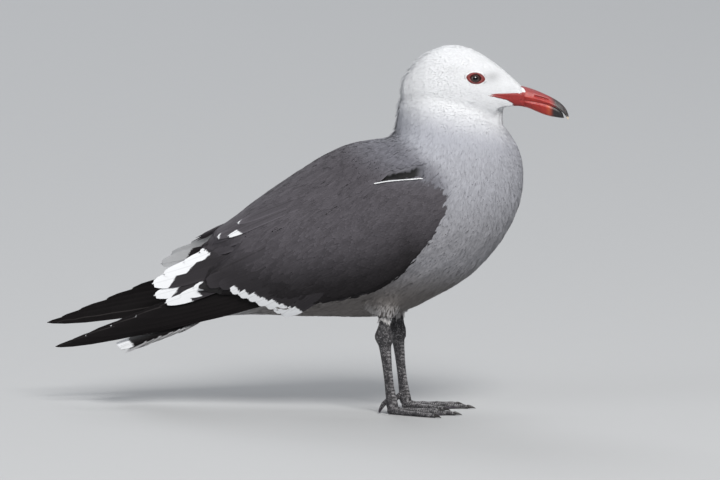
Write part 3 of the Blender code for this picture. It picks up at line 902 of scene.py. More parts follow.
def line_gaps(flat: Array, line: Array) -> tuple[Array, Array, Array, Array, Array]:
    """Compare points with the steps of a bent line.

    Args:
        flat: The points, two numbers each.
        line: The line's corners.

    Returns:
        The steps and their lengths, and for each point and step: the way from the step's start, the
        share of the step at which it is nearest, and the way from there to the point.
    """
    steps = np.diff(line, axis=0).astype(float)
    sizes = np.linalg.norm(steps, axis=1)
    off = flat[:, None, :] - line[None, :-1]
    share = np.clip((off * steps).sum(2) / sizes**2, 0, 1)
    return steps, sizes, off, share, off - share[..., None] * steps


def head_level(x: Array, z: Array) -> Array:
    """Return the height, in mm, measured along the border of the white head, which leans forward."""
    return z + 0.22 * (x - 112.0)


def mantle_gap(x: Array, z: Array) -> Array:
    """Return how far in front of the mantle's border, in mm, points of the side view lie."""
    return (x - 96.0) * 0.55 + (z - 205.0) * 0.83


def hill(x: Array, z: Array, middle: Pair, size: Pair) -> Array:
    """Return a smooth hill that is 1 high, with this middle and these half widths."""
    return np.exp(-(((x - middle[0]) / size[0]) ** 2) - ((z - middle[1]) / size[1]) ** 2)


def plain(tone: Colour) -> Callable[[Array], Array]:
    """Return markings of one tone everywhere."""
    return lambda p: np.tile(np.array(tone), (len(p), 1))


def wing_depth(x: Array, z: Array) -> Array:
    """Return how far inside the folded wing's front and lower edge, in mm, points of the side view lie."""
    steps, _, off, _, gap = line_gaps(np.stack([x, z], 1), WING_EDGE)
    far = np.linalg.norm(gap, axis=2)
    nearest = far.argmin(1)
    pick = np.arange(len(far))
    step, side = steps[nearest], off[pick, nearest]
    return far[pick, nearest] * np.sign(step[:, 1] * side[:, 0] - step[:, 0] * side[:, 1])


class Markings:
    """The bird's markings with painted shade, which the skin and every feather share. All take points in millimetres.
    """

    @staticmethod
    def body(p: Array) -> Array:
        """Return the tone of head, neck, breast and belly: white, then paler to darker greys, with painted shade before
        and behind the eye, under the chin, on the back of the head and the hind neck, and a belly grey that is partly
        painted shade.
        """
        x, y, z = p.T
        level = head_level(x, z)
        tone = blend(smooth(z, 128.0, 186.0), FLANK_GREY, BREAST_GREY)
        # darker belly: partly its own grey, partly painted shade
        tone = blend(smooth(z, 122.0, 88.0), tone, BELLY_GREY)
        tone = blend(smooth(x, -10.0, -70.0), tone, VENT_GREY)
        tone = blend(smooth(z, 190.0, 218.0), tone, PALE_NECK)
        tone = blend(smooth(level, 214.0, 243.0), tone, WHITE)
        side = np.abs(y)
        mantle = smooth(mantle_gap(x, z) + 0.05 * (side - 30.0), 4.0, -11.0)
        mantle *= smooth(z, 150.0, 176.0) * smooth(x, 126.0, 108.0)
        tone = blend(mantle, tone, MANTLE_GREY)
        # painted shade: greyer before the eye, in a faint line behind it and under the chin
        lore = hill(x, z, (147.0, 260.5), (6.0, 4.5)) * 0.30
        behind = hill(x, z - 265.0 - 0.1 * (x - 116.0), (116.0, 0.0), (13.0, 3.0)) * 0.07
        throat = hill(x, z, (150.0, 231.0), (9.0, 5.0)) * 0.10
        # painted shade on the back of the head and the hind neck
        hind = 0.13 * smooth(x, 106.0, 84.0) * smooth(z, 205.0, 222.0)
        return tone * (1.0 - np.where(side > 5.0, lore + behind, 0.0) - throat - hind)[:, None]

    @staticmethod
    def wing(p: Array) -> Array:
        """Return the tone of the folded wing and scapulars: lighter above, darker below, the darkness partly the lower
        feathers' own grey and partly painted shade where the wing turns under.
        """
        x, _, z = p.T
        edge = WING_EDGE[::-1]
        # painted shade with the lower feathers' own darker grey: darker the nearer the wing's lower edge, lighter
        # towards the wrist
        height = z - np.interp(x, edge[:-5, 0], edge[:-5, 1]) + 26.0 * smooth(x, 84.0, 110.0)
        light = np.interp(height, (0, 5, 15, 25, 35, 50, 65), (0.0, 0.05, 0.15, 0.42, 0.70, 0.95, 1.0))
        tone = blend(light, LOW_WING_GREY, WING_GREY)
        top = smooth(mantle_gap(x, z), -46.0, -8.0) * smooth(z, 172.0, 198.0)
        return blend(top, tone, MANTLE_GREY)

    @staticmethod
    def quills(p: Array) -> Array:
        """Return the tone of the wing's large feathers, a little darker than the coverts over them."""
        return np.maximum(Markings.wing(p) * 0.8, blend(np.full(len(p), 0.28), LOW_WING_GREY, WING_GREY))


# ---- feathers


@dataclass(frozen=True)
class Outline:
    """A feather's outline: its width at each station and how far each column of its tip reaches."""

    stations: tuple[float, ...]
    widths: tuple[float, ...]
    tips: tuple[float, ...]
    shaft: float = 0.0  # where the shaft runs, from -1 to 1
    crown: float = 0.05  # height of the arch as a share of the width
    calm: float = 0.7  # how far its shading follows the ground under it

    def columns(self) -> Array:
        """Return where the columns lie across, with the middle one on the shaft."""
        across = np.linspace(-1, 1, len(self.tips))
        return across + self.shaft * (1 - across**2)

    def faces(self) -> tuple[list[tuple[int, ...]], int]:
        """Return the faces of one closed feather, the smooth upper ones first, and how many those are."""
        c, s = len(self.tips), len(self.stations)
        starts = [i * c + j for i in range(s - 1) for j in range(c - 1)]
        top = [(k, k + c, k + c + 1, k + 1) for k in starts]
        under = [(i * c, i * c + c - 1, (i + 1) * c + c - 1, (i + 1) * c) for i in range(s - 1)]
        ends = [tuple(range(c)), tuple((s - 1) * c + j for j in range(c - 1, -1, -1))]
        return top + under + ends, len(top)


DOWN_TUFT = Outline((0.0, 0.4, 0.75, 1.0), (0.6, 1.0, 0.85, 0.25), (0.93, 1.0, 0.9), crown=0.05, calm=0.85)
LOCK = Outline(
    (0.0, 0.35, 0.72, 1.0), (0.55, 1.0, 1.0, 0.72), (0.62, 0.94, 0.80, 1.03, 0.82, 0.96, 0.60), crown=0.04, calm=0.85
)
STRAND = Outline((0.0, 0.4, 0.75, 1.0), (0.55, 1.0, 0.9, 0.5), (0.68, 0.97, 0.84, 1.0, 0.64), crown=0.05, calm=0.85)
SOFT_VANE = Outline(
    (0.0, 0.3, 0.6, 0.85, 1.0), (0.5, 0.95, 1.0, 0.86, 0.42), (0.86, 0.98, 0.97, 1.01, 0.85), crown=0.025, calm=0.75
)
FIRM_VANE = Outline(
    (0.0, 0.12, 0.28, 0.46, 0.64, 0.78, 0.86, 0.92, 0.96, 0.985, 1.0),
    (0.35, 0.7, 0.95, 1.0, 1.0, 0.96, 0.86, 0.70, 0.52, 0.34, 0.14),
    (0.985, 0.995, 1.0, 0.998, 0.99, 0.985, 0.98),
    crown=0.05,
)
BLUNT_VANE = Outline(
    (0.0, 0.3, 0.6, 0.8, 0.88, 0.93, 0.97, 0.99, 1.0),
    (0.4, 0.9, 1.0, 1.0, 0.97, 0.90, 0.74, 0.54, 0.26),
    (0.985, 0.995, 1.0, 1.0, 1.0, 0.995, 0.985),
    crown=0.04,
)
BLADE = Outline(
    (0.0, 0.12, 0.28, 0.44, 0.6, 0.74, 0.85, 0.93, 0.98, 1.0),
    (0.5, 0.85, 1.0, 1.0, 0.98, 0.9, 0.76, 0.52, 0.25, 0.06),
    (0.998, 1.0, 1.0, 1.0, 0.998),
    shaft=-0.35,
    crown=0.07,
)


@dataclass
class Planting:
    """Feathers to be laid: one row of every array for each of them, or one number for all, in metres."""

    roots: Array
    ways: Array
    lengths: Array | float
    widths: Array | float
    starts: Array | float  # height of the root over the ground
    lifts: Array | float  # how much higher the tip lies
    bends: Array | float = 0.0  # turn from root to tip, in radians
    tilts: Array | float = 0.0  # how much higher one edge lies than the other
    pale: Array | float | None = None  # length of the white tip, if it has one
    skew: Array | float | None = None  # how much longer it is at one edge
    aims: Array | None = None  # where the tips shall lie

    def __post_init__(self) -> None:
        """Repeat what is one number for every feather."""
        for key, value in list(vars(self).items()):
            if isinstance(value, float):
                setattr(self, key, np.full(len(self.roots), value))

    def __len__(self) -> int:
        """Return how many feathers there are."""
        return len(self.roots)

    def only(self, chosen: Array) -> "Planting":
        """Return the chosen feathers."""
        return Planting(**{key: value[chosen] for key, value in vars(self).items() if value is not None})


class BakeMap:
    """Where feathers lie in the bake map, the UV map named OFBake."""

    AXIS = np.array(
        [(176, 243), (150, 251), (120, 252), (98, 236), (100, 205), (95, 172), (62, 146), (0, 120), (-60, 95)]
        + [(-130, 66), (-205, 52)]
    )
    PATCH = 0.003

    @classmethod
    def unwrap(cls, where: Array) -> Array:
        """Unwrap points in metres round the bird's bent axis.

        Args:
            where: The points.

        Returns:
            Two numbers from 0 to 1 for each: along the axis and round it.
        """
        flat = where[:, [0, 2]] / MM
        steps, sizes, _, share, gap = line_gaps(flat, cls.AXIS)
        before = np.concatenate([[0], np.cumsum(sizes)])[:-1]
        nearest = (gap**2).sum(2).argmin(1)
        pick = np.arange(len(flat))
        along = before[nearest] + share[pick, nearest] * sizes[nearest]
        forward = steps[nearest] / sizes[nearest, None]
        above = gap[pick, nearest] @ np.eye(2)
        rise = above[:, 0] * -forward[:, 1] + above[:, 1] * forward[:, 0]
        turn = np.arctan2(where[:, 1] / MM, -rise) / math.pi
        return np.stack([0.01 + 0.98 * along / sizes.sum(), 0.5 + 0.49 * turn], 1)

    @classmethod
    def patches(cls, roots: Array, across: Array, along: Array) -> Array:
        """Give each feather a small patch at its root's place.

        Args:
            roots: The feathers' roots.
            across: Where each vertex lies across its feather, from -1 to 1.
            along: Where it lies along it, from 0 to 1.

        Returns:
            The places, shaped (feathers, vertices, 2).
        """
        corner = cls.unwrap(roots)[:, None, :]
        spread = np.stack([along - 0.5, across * 0.5], -1) * cls.PATCH
        return corner + spread

    @classmethod
    def strips(cls, count: int, across: Array, along: Array) -> Array:
        """Give each large feather a strip of its own.

        Args:
            count: How many feathers there are.
            across: Where each vertex lies across its feather, from -1 to 1.
            along: Where it lies along it, from 0 to 1.

        Returns:
            The places, shaped (feathers, vertices, 2).
        """
        wide = math.ceil(math.sqrt(count * 3))
        high = math.ceil(count / wide)
        column, line = np.arange(count) % wide, np.arange(count) // wide
        u = (column[:, None] + 0.5 + across * 0.44) / wide
        v = (line[:, None] + 0.04 + np.clip(along, 0, 1.1) * 0.83) / high
        return np.stack([u, v], -1)


class Plumes:
    """Lays feathers over a ground and joins them into one piece."""

    def __init__(self, seed: int) -> None:
        """Start the piece's own row of random numbers."""
        self.random = np.random.default_rng(seed)

    def lay(self, ground: Ground | FittedSheet, plan: Planting, outline: Outline, follow: Lie | None = None) -> dict:
        """Lay every feather over the ground.

        Args:
            ground: The surface.
            plan: The feathers.
            outline: Their outline.
            follow: The lie that bends them as they go, if any.

        Returns:
            Arrays of the vertices and of what their finish reads.
        """
        count = len(plan)
        columns = outline.columns()
        across = np.linspace(-1, 1, len(columns))
        spots, normals = ground.nearest(plan.roots)
        way = unit(plan.ways - (plan.ways * normals).sum(1, keepdims=True) * normals)
        fine = np.clip(14 * MM / plan.lengths, 0, 1)[:, None]
        jag = 1.0 + self.random.normal(0, 0.022, (count, len(columns))) * fine
        before = 0.0
        vertices, vane, barb, pale, ups = [], [], [], [], []
        seeds = self.random.random(count)
        for station, breadth in zip(outline.stations, outline.widths):
            if station > before:
                step = (plan.lengths * (station - before))[:, None]
                further, normals = ground.nearest(spots + way * step)
                ahead = unit(further - spots)
                if follow is not None:
                    ahead = unit(ahead * 0.65 + follow.at(further)[0] * 0.35)
                way = unit(ahead - (ahead * normals).sum(1, keepdims=True) * normals)
                turn = (plan.bends * (station - before))[:, None]
                way = way * np.cos(turn) + np.cross(normals, way) * np.sin(turn)
                spots, before = further, station
            beside = np.cross(normals, way)
            last = station == outline.stations[-1]
            for place, column, reach, jagged in zip(columns, across, outline.tips, jag.T):
                share = station * np.ones(count)
                aim = spots + beside * (place * breadth * plan.widths / 2)[:, None]
                if last:
                    share = reach * jagged
                    aim = aim + way * ((share - 1) * plan.lengths)[:, None]
                foot, up = ground.nearest(aim)
                rise = plan.starts + plan.lifts * share
                rise = rise + outline.crown * plan.widths * breadth * (1 - column**2) + plan.tilts * column
                vertices.append(foot + up * rise[:, None])
                ups.append(up)
                vane.append(np.stack([np.full(count, column), share, seeds], 1))
                barb.append(np.stack([place * breadth * plan.widths / 2, share * plan.lengths, seeds * 0.04], 1) / MM)
                if plan.pale is not None:
                    pale.append((plan.pale * (1 + plan.skew * column) - (1 - share) * plan.lengths) / MM)
        made = {"co": vertices, "vane": vane, "barb": barb, "pale": pale, "up": ups}
        return {key: np.stack(rows, 1) for key, rows in made.items() if rows}

    def lay_to(self, ground: Ground | FittedSheet, plan: Planting, outline: Outline) -> dict:
        """Lay large feathers whose tips, seen from the side, come to their aims.

        Args:
            ground: The surface.
            plan: The feathers, with their aims.
            outline: Their outline.

        Returns:
            What lay() returns.
        """
        middle = len(outline.stations) * len(outline.tips) - 1 - len(outline.tips) // 2
        for _ in range(3):
            laid = self.lay(ground, plan, outline)
            missed = (plan.aims - laid["co"][:, middle]) * (1.0, 0.0, 1.0)
            reach = plan.ways * plan.lengths[:, None] + missed
            plan.ways, plan.lengths = unit(reach), np.linalg.norm(reach, axis=1)
        return self.lay(ground, plan, outline)

    def piece(
        self,
        name: str,
        laid: dict,
        outline: Outline,
        tone: Callable[[Array], Array],
        finish: Material,
        slot: str,
        large: bool = False,
    ) -> Object:
        """Join laid feathers into one piece.

        Args:
            name: The piece's name.
            laid: What lay() returned.
            outline: The feathers' outline.
            tone: The markings with painted shade, from points in mm.
            finish: The material.
            slot: Not used.
            large: True if each feather has its own strip in the bake map.

        Returns:
            The piece.
        """
        count, each = laid["co"].shape[:2]
        faces, smooth_faces = outline.faces()
        corners = np.concatenate([np.array(face) for face in faces])
        sizes = np.array([len(face) for face in faces])
        loops = (corners[None] + np.arange(count)[:, None] * each).ravel()
        totals = np.tile(sizes, count)
        mesh = bpy.data.meshes.new(name)
        mesh.vertices.add(count * each)
        mesh.loops.add(len(loops))
        mesh.polygons.add(len(totals))
        mesh.vertices.foreach_set("co", laid["co"].astype(np.float32).ravel())
        mesh.loops.foreach_set("vertex_index", loops.astype(np.int32))
        mesh.polygons.foreach_set("loop_start", np.concatenate([[0], np.cumsum(totals)[:-1]]).astype(np.int32))
        mesh.polygons.foreach_set("loop_total", totals.astype(np.int32))
        soft = np.tile(np.arange(len(faces)) < smooth_faces, count)
        mesh.polygons.foreach_set("use_smooth", soft)
        mesh.update(calc_edges=True)
        grid = laid["co"].reshape(count, len(outline.stations), -1, 3)
        own = unit(np.cross(np.gradient(grid, axis=1), np.gradient(grid, axis=2)).reshape(-1, 3))
        up = laid["up"].reshape(-1, 3)
        calm = outline.calm * smooth((own * up).sum(1), 0.0, 0.5)[:, None]
        facing = unit(up * calm + own * (1.0 - calm))[loops]
        facing[~np.repeat(soft, totals)] = 0.0
        mesh.normals_split_custom_set(facing.tolist())
        keep_tone(mesh, tone(laid["co"].reshape(-1, 3) / MM))
        keep(mesh, "vane", laid["vane"].reshape(-1, 3))
        keep(mesh, "barb", laid["barb"].reshape(-1, 3))
        if "pale" in laid:
            keep(mesh, "pale", laid["pale"].reshape(-1))
        across, along = laid["vane"][..., 0], laid["vane"][..., 1]
        if large:
            places = BakeMap.strips(count, across, along)
        else:
            places = BakeMap.patches(laid["co"][:, 0], across, along)
        layer = mesh.uv_layers.new(name="OFBake")
        layer.data.foreach_set("uv", places.reshape(-1, 2)[loops].astype(np.float32).ravel())
        return show(name, mesh, finish)


def scatter(
    ground: Ground, lie: Lie, spacing: float, allowed: Callable[[Array, Array], Array], random: np.random.Generator
) -> Array:
    """Scatter roots evenly over a ground, closer together where the tufts are smaller.

    Args:
        ground: The surface.
        lie: The lie that gives the tufts' width.
        spacing: The distance between roots as a share of the width.
        allowed: Says which (points, normals) may carry a root.
        random: The source of random numbers.

    Returns:
        The roots, in metres.
    """
    a, b, c = (ground.points[ground.corners[:, k]] for k in range(3))
    middle, normal = ground.triangles()
    area = np.linalg.norm(normal, axis=1) / 2
    open_face = allowed(middle, unit(normal))
    gap = lie.at(middle)[1][:, 1] * spacing
    wanted = area / gap**2 * open_face
    count = int(wanted.sum() * 5)
    face = random.choice(len(area), count, p=wanted / wanted.sum())
    u, v = random.random((2, count, 1))
    flip = u + v > 1
    u, v = np.where(flip, 1 - u, u), np.where(flip, 1 - v, v)
    spots = a[face] + (b - a)[face] * u + (c - a)[face] * v
    gaps = gap[face]
    tree = KDTree(count)
    for index, row in enumerate(spots.tolist()):
        tree.insert(row, index)
    tree.balance()
    free = np.ones(count, bool)
    chosen = []
    for index in range(count):
        if free[index]:
            chosen.append(index)
            for _, other, _ in tree.find_range(spots[index].tolist(), gaps[index]):
                free[other] = False
    return spots[chosen]


# ---- the body


FLESH = ("head", "neck", "breast", "trunk", "rump", "thigh_right", "thigh_left")
SHOULDERS = ("wing_right_scapulars", "wing_left_scapulars")
ARMS = ("wing_right_coverts", "wing_left_coverts")
TERTIALS = ("wing_right_tertials", "wing_left_tertials")


class Region(Enum):
    """Which part of the bird a spot of the surface belongs to."""

    FLESH = 0
    SHOULDER = 1
    ARM = 2
    TERTIAL = 3


def nodes_mesh(names: Sequence[str]) -> Mesh:
    """Copy CAD nodes into one mesh."""
    bm = bmesh.new()
    for name in names:
        bm.from_mesh(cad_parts[name].data)
    mesh = bpy.data.meshes.new("copy")
    bm.to_mesh(mesh)
    bm.free()
    return mesh


@dataclass
class Body:
    """The skin with its markings and painted shade, and the outer surface that the coat fills."""

    voxel: float = 1.5 * MM
    rounds: int = 12
    crease: float = 3.0 * MM
    shut: float = 9.0 * MM  # a spot with another surface this near over it isn't seen
    chin: Table = ((148.0, 229.0), (149.5, 232.6), (151.4, 234.8), (155.3, 236.1), (161.0, 237.1))
    slit: Table = (  # x and z in mm of the gap over the wing's front edge
        *((61, 175), (66, 183), (71.7, 186.7), (88, 190.5)),
        *((99.8, 194), (99.8, 185.4), (80, 183.6), (64.6, 181)),
    )
    eye: Pair = EYE_SPOT
    socket: Pair = (5.4, 3.6)  # half axes of the hollow that the ball fills
    socket_depth: float = 2.2 * MM
    slit_depth: float = 2.6 * MM
    lid: Pair = (7.2, 4.6)
    gape_low: Table = (  # x and z of the gape's lower border
        (144.2, 147.6, 153.0, 158.6, 162.1, 164.0, 171.0),
        (246.4, 245.6, 244.2, 242.6, 240.2, 237.9, 237.2),
    )
    lie: Lie = field(default_factory=lambda: Lie(GUIDES, (0.85, 0.62, 0.55)))
    wing_lie: Lie = field(default_factory=lambda: Lie(WING_GUIDES, (1.3, 1.1, 0.6)))

    def build(self) -> None:
        """Fuse the outer surface and the skin that lies inside it."""
        groups = (FLESH, SHOULDERS, ARMS, TERTIALS)
        eyes = ("eye_right", "eye_left")
        self.grounds = [Ground(nodes_mesh(group)) for group in groups]
        surface = self.closed(fuse("surface", [nodes_mesh(sum(groups, eyes))], self.voxel, self.rounds))
        self.surface = Ground(surface)
        self.middles, out = self.surface.triangles()
        self.outs = unit(out)
        self.surface_region = self.settle(self.regions(self.middles), self.middles / MM, self.outs[:, 1])
        mesh = self.closed(fuse("skin", [nodes_mesh(FLESH + SHOULDERS + ARMS + eyes)], self.voxel, self.rounds))
        rows = points_of(mesh)
        region = self.settle(self.regions(rows), rows / MM, normals_of(mesh)[:, 1])
        depth = np.where(region == Region.FLESH.value, self.lie.at(rows)[1][:, 2], self.wing_lie.at(rows)[1][:, 2])
        flat = rows / MM
        hollow = relax(mesh, self.in_slit(flat)[:, None], 2, 0.0)[:, 0] * self.slit_depth
        across, up = (flat[:, 0] - self.eye[0]) / self.socket[0], (flat[:, 2] - self.eye[1]) / self.socket[1]
        eye_gap = across**2 + up**2
        hollow += self.socket_depth * smooth(eye_gap, 1.1, 0.75) * (np.abs(flat[:, 1]) > 9.0)
        rows = rows - normals_of(mesh) * (depth * 1.05 + hollow)[:, None]
        put_points(mesh, relax(mesh, rows, 3))
        flesh = relax(mesh, (region == Region.FLESH.value).astype(float)[:, None], 2, 0.0)
        rows = points_of(mesh) / MM
        tone = Markings.body(rows) * flesh + Markings.wing(rows) * (1 - flesh)
        tone[self.bare(rows) & (rows[:, 0] > 144.0)] = (0.20, 0.02, 0.02)
        # painted shade: the skin in the slit over the wing is darkened almost to black, fading out towards the slit's
        # front end
        keep_tone(mesh, tone * (1.0 - 0.97 * self.in_slit(rows) * smooth(rows[:, 0], 99.0, 92.0))[:, None])
        self.skin_ground = Ground(mesh)
        self.skin = show("skin", mesh, SkinFinish("down").material())
        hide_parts(*FLESH, *SHOULDERS, *ARMS)

    def closed(self, mesh: Mesh) -> Mesh:
        """Fill the creases between wing and body and shape the chin.

        Args:
            mesh: The fused surface.

        Returns:
            The same surface with its creases filled.
        """
        put_points(mesh, points_of(mesh) + normals_of(mesh) * self.crease)
        mesh = fuse(mesh.name, [mesh], self.voxel, 2)
        put_points(mesh, relax(mesh, points_of(mesh) - normals_of(mesh) * self.crease, 4))
        rows = points_of(mesh)
        x, y, z = (rows / MM).T
        table = np.array(self.chin)
        floor = np.interp(x, table[:, 0], table[:, 1]) + 0.012 * y**2
        share = smooth(x, 148.0, 151.0) * smooth(z, 222.0, 228.0) * smooth(z, 246.0, 240.0)
        rows[:, 2] += np.maximum(floor - z, 0) * share * MM
        slim = 1.0 - 0.17 * smooth(x, 154.0, 168.5) * smooth(z, 228.0, 234.0) * smooth(z, 255.0, 250.0)
        rows[:, 1] *= slim
        put_points(mesh, relax(mesh, rows, 2))
        rows = points_of(mesh)
        x, y, z = (rows / MM).T
        near = smooth(np.hypot(x - self.eye[0], z - self.eye[1]), 11.0, 6.0) * (np.abs(y) > 9.0)
        put_points(mesh, rows + (relax(mesh, rows, 40, 0.0) - rows) * near[:, None])
        for _ in range(3):
            rows, out = points_of(mesh), normals_of(mesh)
            x, y, z = (rows / MM).T
            soft = relax(mesh, rows, 22, 0.0)
            rise = np.clip(((soft - rows) * out).sum(1), 0.0, 2.2 * MM)
            share = smooth(x, 132.0, 116.0) * smooth(z, 214.0, 202.0) * smooth(x, -112.0, -84.0)
            put_points(mesh, relax(mesh, rows + out * (rise * share)[:, None], 2))
        return mesh

    def regions(self, rows: Array) -> Array:
        """Say for each point which group of nodes is nearest."""
        gaps = [[ground.tree.find_nearest(row)[3] for row in rows.tolist()] for ground in self.grounds]
        return np.argmin(np.array(gaps), axis=0)

    def in_slit(self, p: Array) -> Array:
        """Find the points inside the slit over the wing's front edge, seen from the side.

        Args:
            p: The points, in mm.

        Returns:
            1 for each point inside and 0 for the others.
        """
        x, y, z = p.T
        inside = np.zeros(len(p), bool)
        corners = np.array(self.slit)
        for (ax, az), (bx, bz) in zip(corners, np.roll(corners, -1, axis=0)):
            crossed = (az > z) != (bz > z)
            inside ^= crossed & (x < (bx - ax) * (z - az) / (bz - az if bz != az else 1.0) + ax)
        inside &= np.abs(y) > 20.0
        return inside.astype(float)

    def settle(self, region: Array, p: Array, out: Array) -> Array:
        """Let the coverts start just at the folded wing's edge.

        Args:
            region: The nearest group of each point.
            p: The points, in mm.
            out: The sideways part of the surface's normal at each.

        Returns:
            The regions with the points by the edge changed.
        """
        x, y, z = p.T
        depth = wing_depth(x, z)
        near = (np.abs(y) > 24.0) & (z < 181.0) & (x > -30.0)
        to_wing = near & (depth > 0.5) & (out * np.sign(y) > -0.1) & (region == Region.FLESH.value)
        to_flesh = near & (depth < -0.5) & (z < 178.0) & (region == Region.ARM.value)
        return np.where(to_wing, Region.ARM.value, np.where(to_flesh, Region.FLESH.value, region))

    def bare(self, p: Array) -> Array:
        """Find the points that carry no feathers: round the eyes, along the gape and under the bill.

        Args:
            p: The points, in mm.

        Returns:
            True for each bare point.
        """
        x, y, z = p.T
        ring = ((x - self.eye[0]) / self.lid[0]) ** 2 + ((z - self.eye[1]) / self.lid[1]) ** 2 < 1.0
        ring &= np.abs(y) > 9.0
        gape = (z < np.interp(x, (144.2, 150.0), (246.8, 247.5))) & (z > np.interp(x, *self.gape_low)) & (x > 144.6)
        wedge = np.interp(z, (235.5, 240.2, 243.0, 247.5, 248.7, 250.5, 253.4), (162, 162, 168.5, 169, 172, 170.6, 168))
        return ring | gape | ((x > wedge) & (z > 230.0))

    def open_faces(self, wanted: Sequence[Region]) -> Array:
        """Say which faces of the outer surface belong to these regions and can be seen."""
        chosen = np.isin(self.surface_region, [region.value for region in wanted])
        for index in np.flatnonzero(chosen):
            start, out = Vector(self.middles[index] + self.outs[index] * 0.4 * MM), Vector(self.outs[index])
            if self.surface.tree.ray_cast(start, out, self.shut)[0] is not None:
                chosen[index] = False
        return chosen


@dataclass
class Coat:
    """The small feathers of head, neck, breast, belly and mantle."""

    body: Body
    spacing: float = 0.78
    most: int = 5400  # tufts in one piece

    def plan(self, roots: Array, lie: Lie, random: np.random.Generator, fluff: float | Array = 0.0) -> Planting:
        """Size the tufts and turn each a little.

        Args:
            roots: Where they stand.
            lie: How the coat lies.
            random: The source of random numbers.
            fluff: How much higher their tips stand, as a share of their depth.

        Returns:
            The tufts.
        """
        ways, sizes = lie.at(roots)
        count = len(roots)
        ways = unit(ways + random.normal(0, 0.10, (count, 3)))
        length = sizes[:, 0] * random.uniform(0.82, 1.18, count)
        depth = sizes[:, 2]
        return Planting(
            roots=roots,
            ways=ways,
            lengths=length,
            widths=sizes[:, 1] * random.uniform(0.85, 1.15, count),
            starts=-depth * random.uniform(0.95, 1.05, count),
            lifts=depth * (random.uniform(0.85, 1.05, count) + fluff),
            bends=random.normal(0, 0.10, count),
            tilts=random.normal(0, 0.08, count) * depth,
        )

    def trim(self, plan: Planting, random: np.random.Generator, wing: bool) -> Planting:
        """Shorten the tufts that would lie far over the slit, the wing's edge or the secondaries' tips.

        Args:
            plan: The tufts.
            random: The source of random numbers, for a frayed edge.
            wing: True for a wing's own feathers.

        Returns:
            The tufts that still have a fair length.
        """
        reach = random.uniform(0.0, 1.0, len(plan)) ** 2
        full = plan.lengths.copy()
        for _ in range(7):
            tips = (plan.roots + plan.ways * plan.lengths[:, None]) / MM
            x, y, z = tips.T
            over = np.zeros(len(plan), bool)
            for share in (0.3, 0.5, 0.7, 0.85, 1.0):
                spot = plan.roots / MM * (1 - share) + tips * share
                for up in (-1.2, 0.0, 1.6):
                    over |= self.body.in_slit(spot - np.array([0.0, 0.0, up])) > 0.5
            if wing:
                over |= (z < 84.0 - 0.218 * x + 3.0 - 3.0 * reach) & (x > -60.0) & (x < -4.0) & (z < 100.0)
                over |= (x < -70.0 - 4.0 * reach - 0.35 * (z - 96.0)) & (z < 122.0)
                over |= (x < -62.0) & (z < 96.0 - 2.0 * reach)
                over |= (y > 0.0) & (x < -52.0 - 8.0 * reach) & (z > 112.0)
            else:
                over |= (wing_depth(x, z) > 0.5 + 7.0 * reach) & (z < 180.0) & (np.abs(y) > 24.0) & (x > -40.0)
            plan.lengths[over] *= 0.82
            plan.widths[over] *= 0.95
        return plan.only(plan.lengths > 0.4 * full)

    def build(self) -> None:
        """Scatter, lay and join the tufts, a piece for each part of the body."""
        open_flesh = self.body.open_faces([Region.FLESH])
        random = np.random.default_rng(11)

        def allowed(middle: Array, normal: Array) -> Array:
            """Keep bare spots and the slit free."""
            rows = middle / MM
            return open_flesh & ~self.body.bare(rows) & (self.body.in_slit(rows) < 0.5)

        roots = scatter(self.body.surface, self.body.lie, self.spacing, allowed, random)
        x, y, z = (roots / MM).T
        level = head_level(x, z)
        face = (level + random.normal(0, 5.0, len(x)) > 231.0) & (x + random.normal(0, 4.0, len(x)) > 104.0)
        parts = {
            "face_down": (face, DOWN_TUFT, 0.0),
            "nape_coat": (~face & (level > 214.0), STRAND, 0.15),
            "breast_coat": (~face & (level <= 214.0) & (x > 96.0), STRAND, 0.1),
            "belly_coat": (~face & (level <= 214.0) & (x <= 96.0) & (z < 135.0), STRAND, 0.05),
            "mantle_coat": (~face & (level <= 214.0) & (x <= 96.0) & (z >= 135.0), STRAND, 0.1),
        }
        white = PlumeFinish("white_plumage", streak=0.06, variety=0.03, sheen=0.05).material()
        grey = PlumeFinish("grey_plumage", streak=0.14, variety=0.07, sheen=0.05).material()
        for name, (chosen, outline, fluff) in parts.items():
            rows = roots[chosen]
            rows = rows[np.argsort(rows[:, 0])]
            pieces = max(1, math.ceil(len(rows) / (self.most if outline is STRAND else 1.7 * self.most)))
            for number, part in enumerate(np.array_split(rows, pieces), 1):
                plumes = Plumes(100 + number)
                x, y, z = (part / MM).T
                rough = smooth(x, 106.0, 92.0) * smooth(z, 214.0, 226.0) * smooth(np.abs(y), 12.0, 6.0)
                rough = rough * plumes.random.random(len(part)) ** 2.5 * 3.6
                plan = self.plan(part, self.body.lie, plumes.random, fluff + rough)
                plan = self.trim(plan, plumes.random, False)
                laid = plumes.lay(self.body.surface, plan, outline, self.body.lie)
                title = name if pieces == 1 else f"{name}_{number}"
                pale = name in ("face_down", "nape_coat")
                slot = "plumage_white" if pale else "plumage_grey"
                plumes.piece(title, laid, outline, Markings.body, white if pale else grey, slot)


# ---- the wings


@dataclass(frozen=True)
class Quill:
    """One large feather: root and tip (x and z in mm), width and height in its stack, in mm."""

    root: Pair
    tip: Pair
    width: float
    level: float
    pale: float = 0.0  # length of its white tip
    bend: float = 0.0  # radians, towards the bird's underside where positive
    rise: float = 0.8  # how much higher its tip lies than its root
    skew: float = 0.35  # how much longer the white is at the upper edge


@dataclass(frozen=True)
class FoldOffset:
    """How far one feather group of the left wing lies above and behind the right one, in mm."""

    lift: float
    reach: float

    def place(self, x: float, z: float, side: Side) -> Pair:
        """Move a point of the right wing's side view to the same feather of either wing.

        Args:
            x: How far forward the point is, in mm.
            z: Its height.
            side: The wing.

        Returns:
            Its x and z on that wing.
        """
        if side is Side.RIGHT:
            return x, z
        share = float(smooth(np.array(20.0 - x), 0.0, 135.0))
        return x - self.reach * share, z + self.lift * share


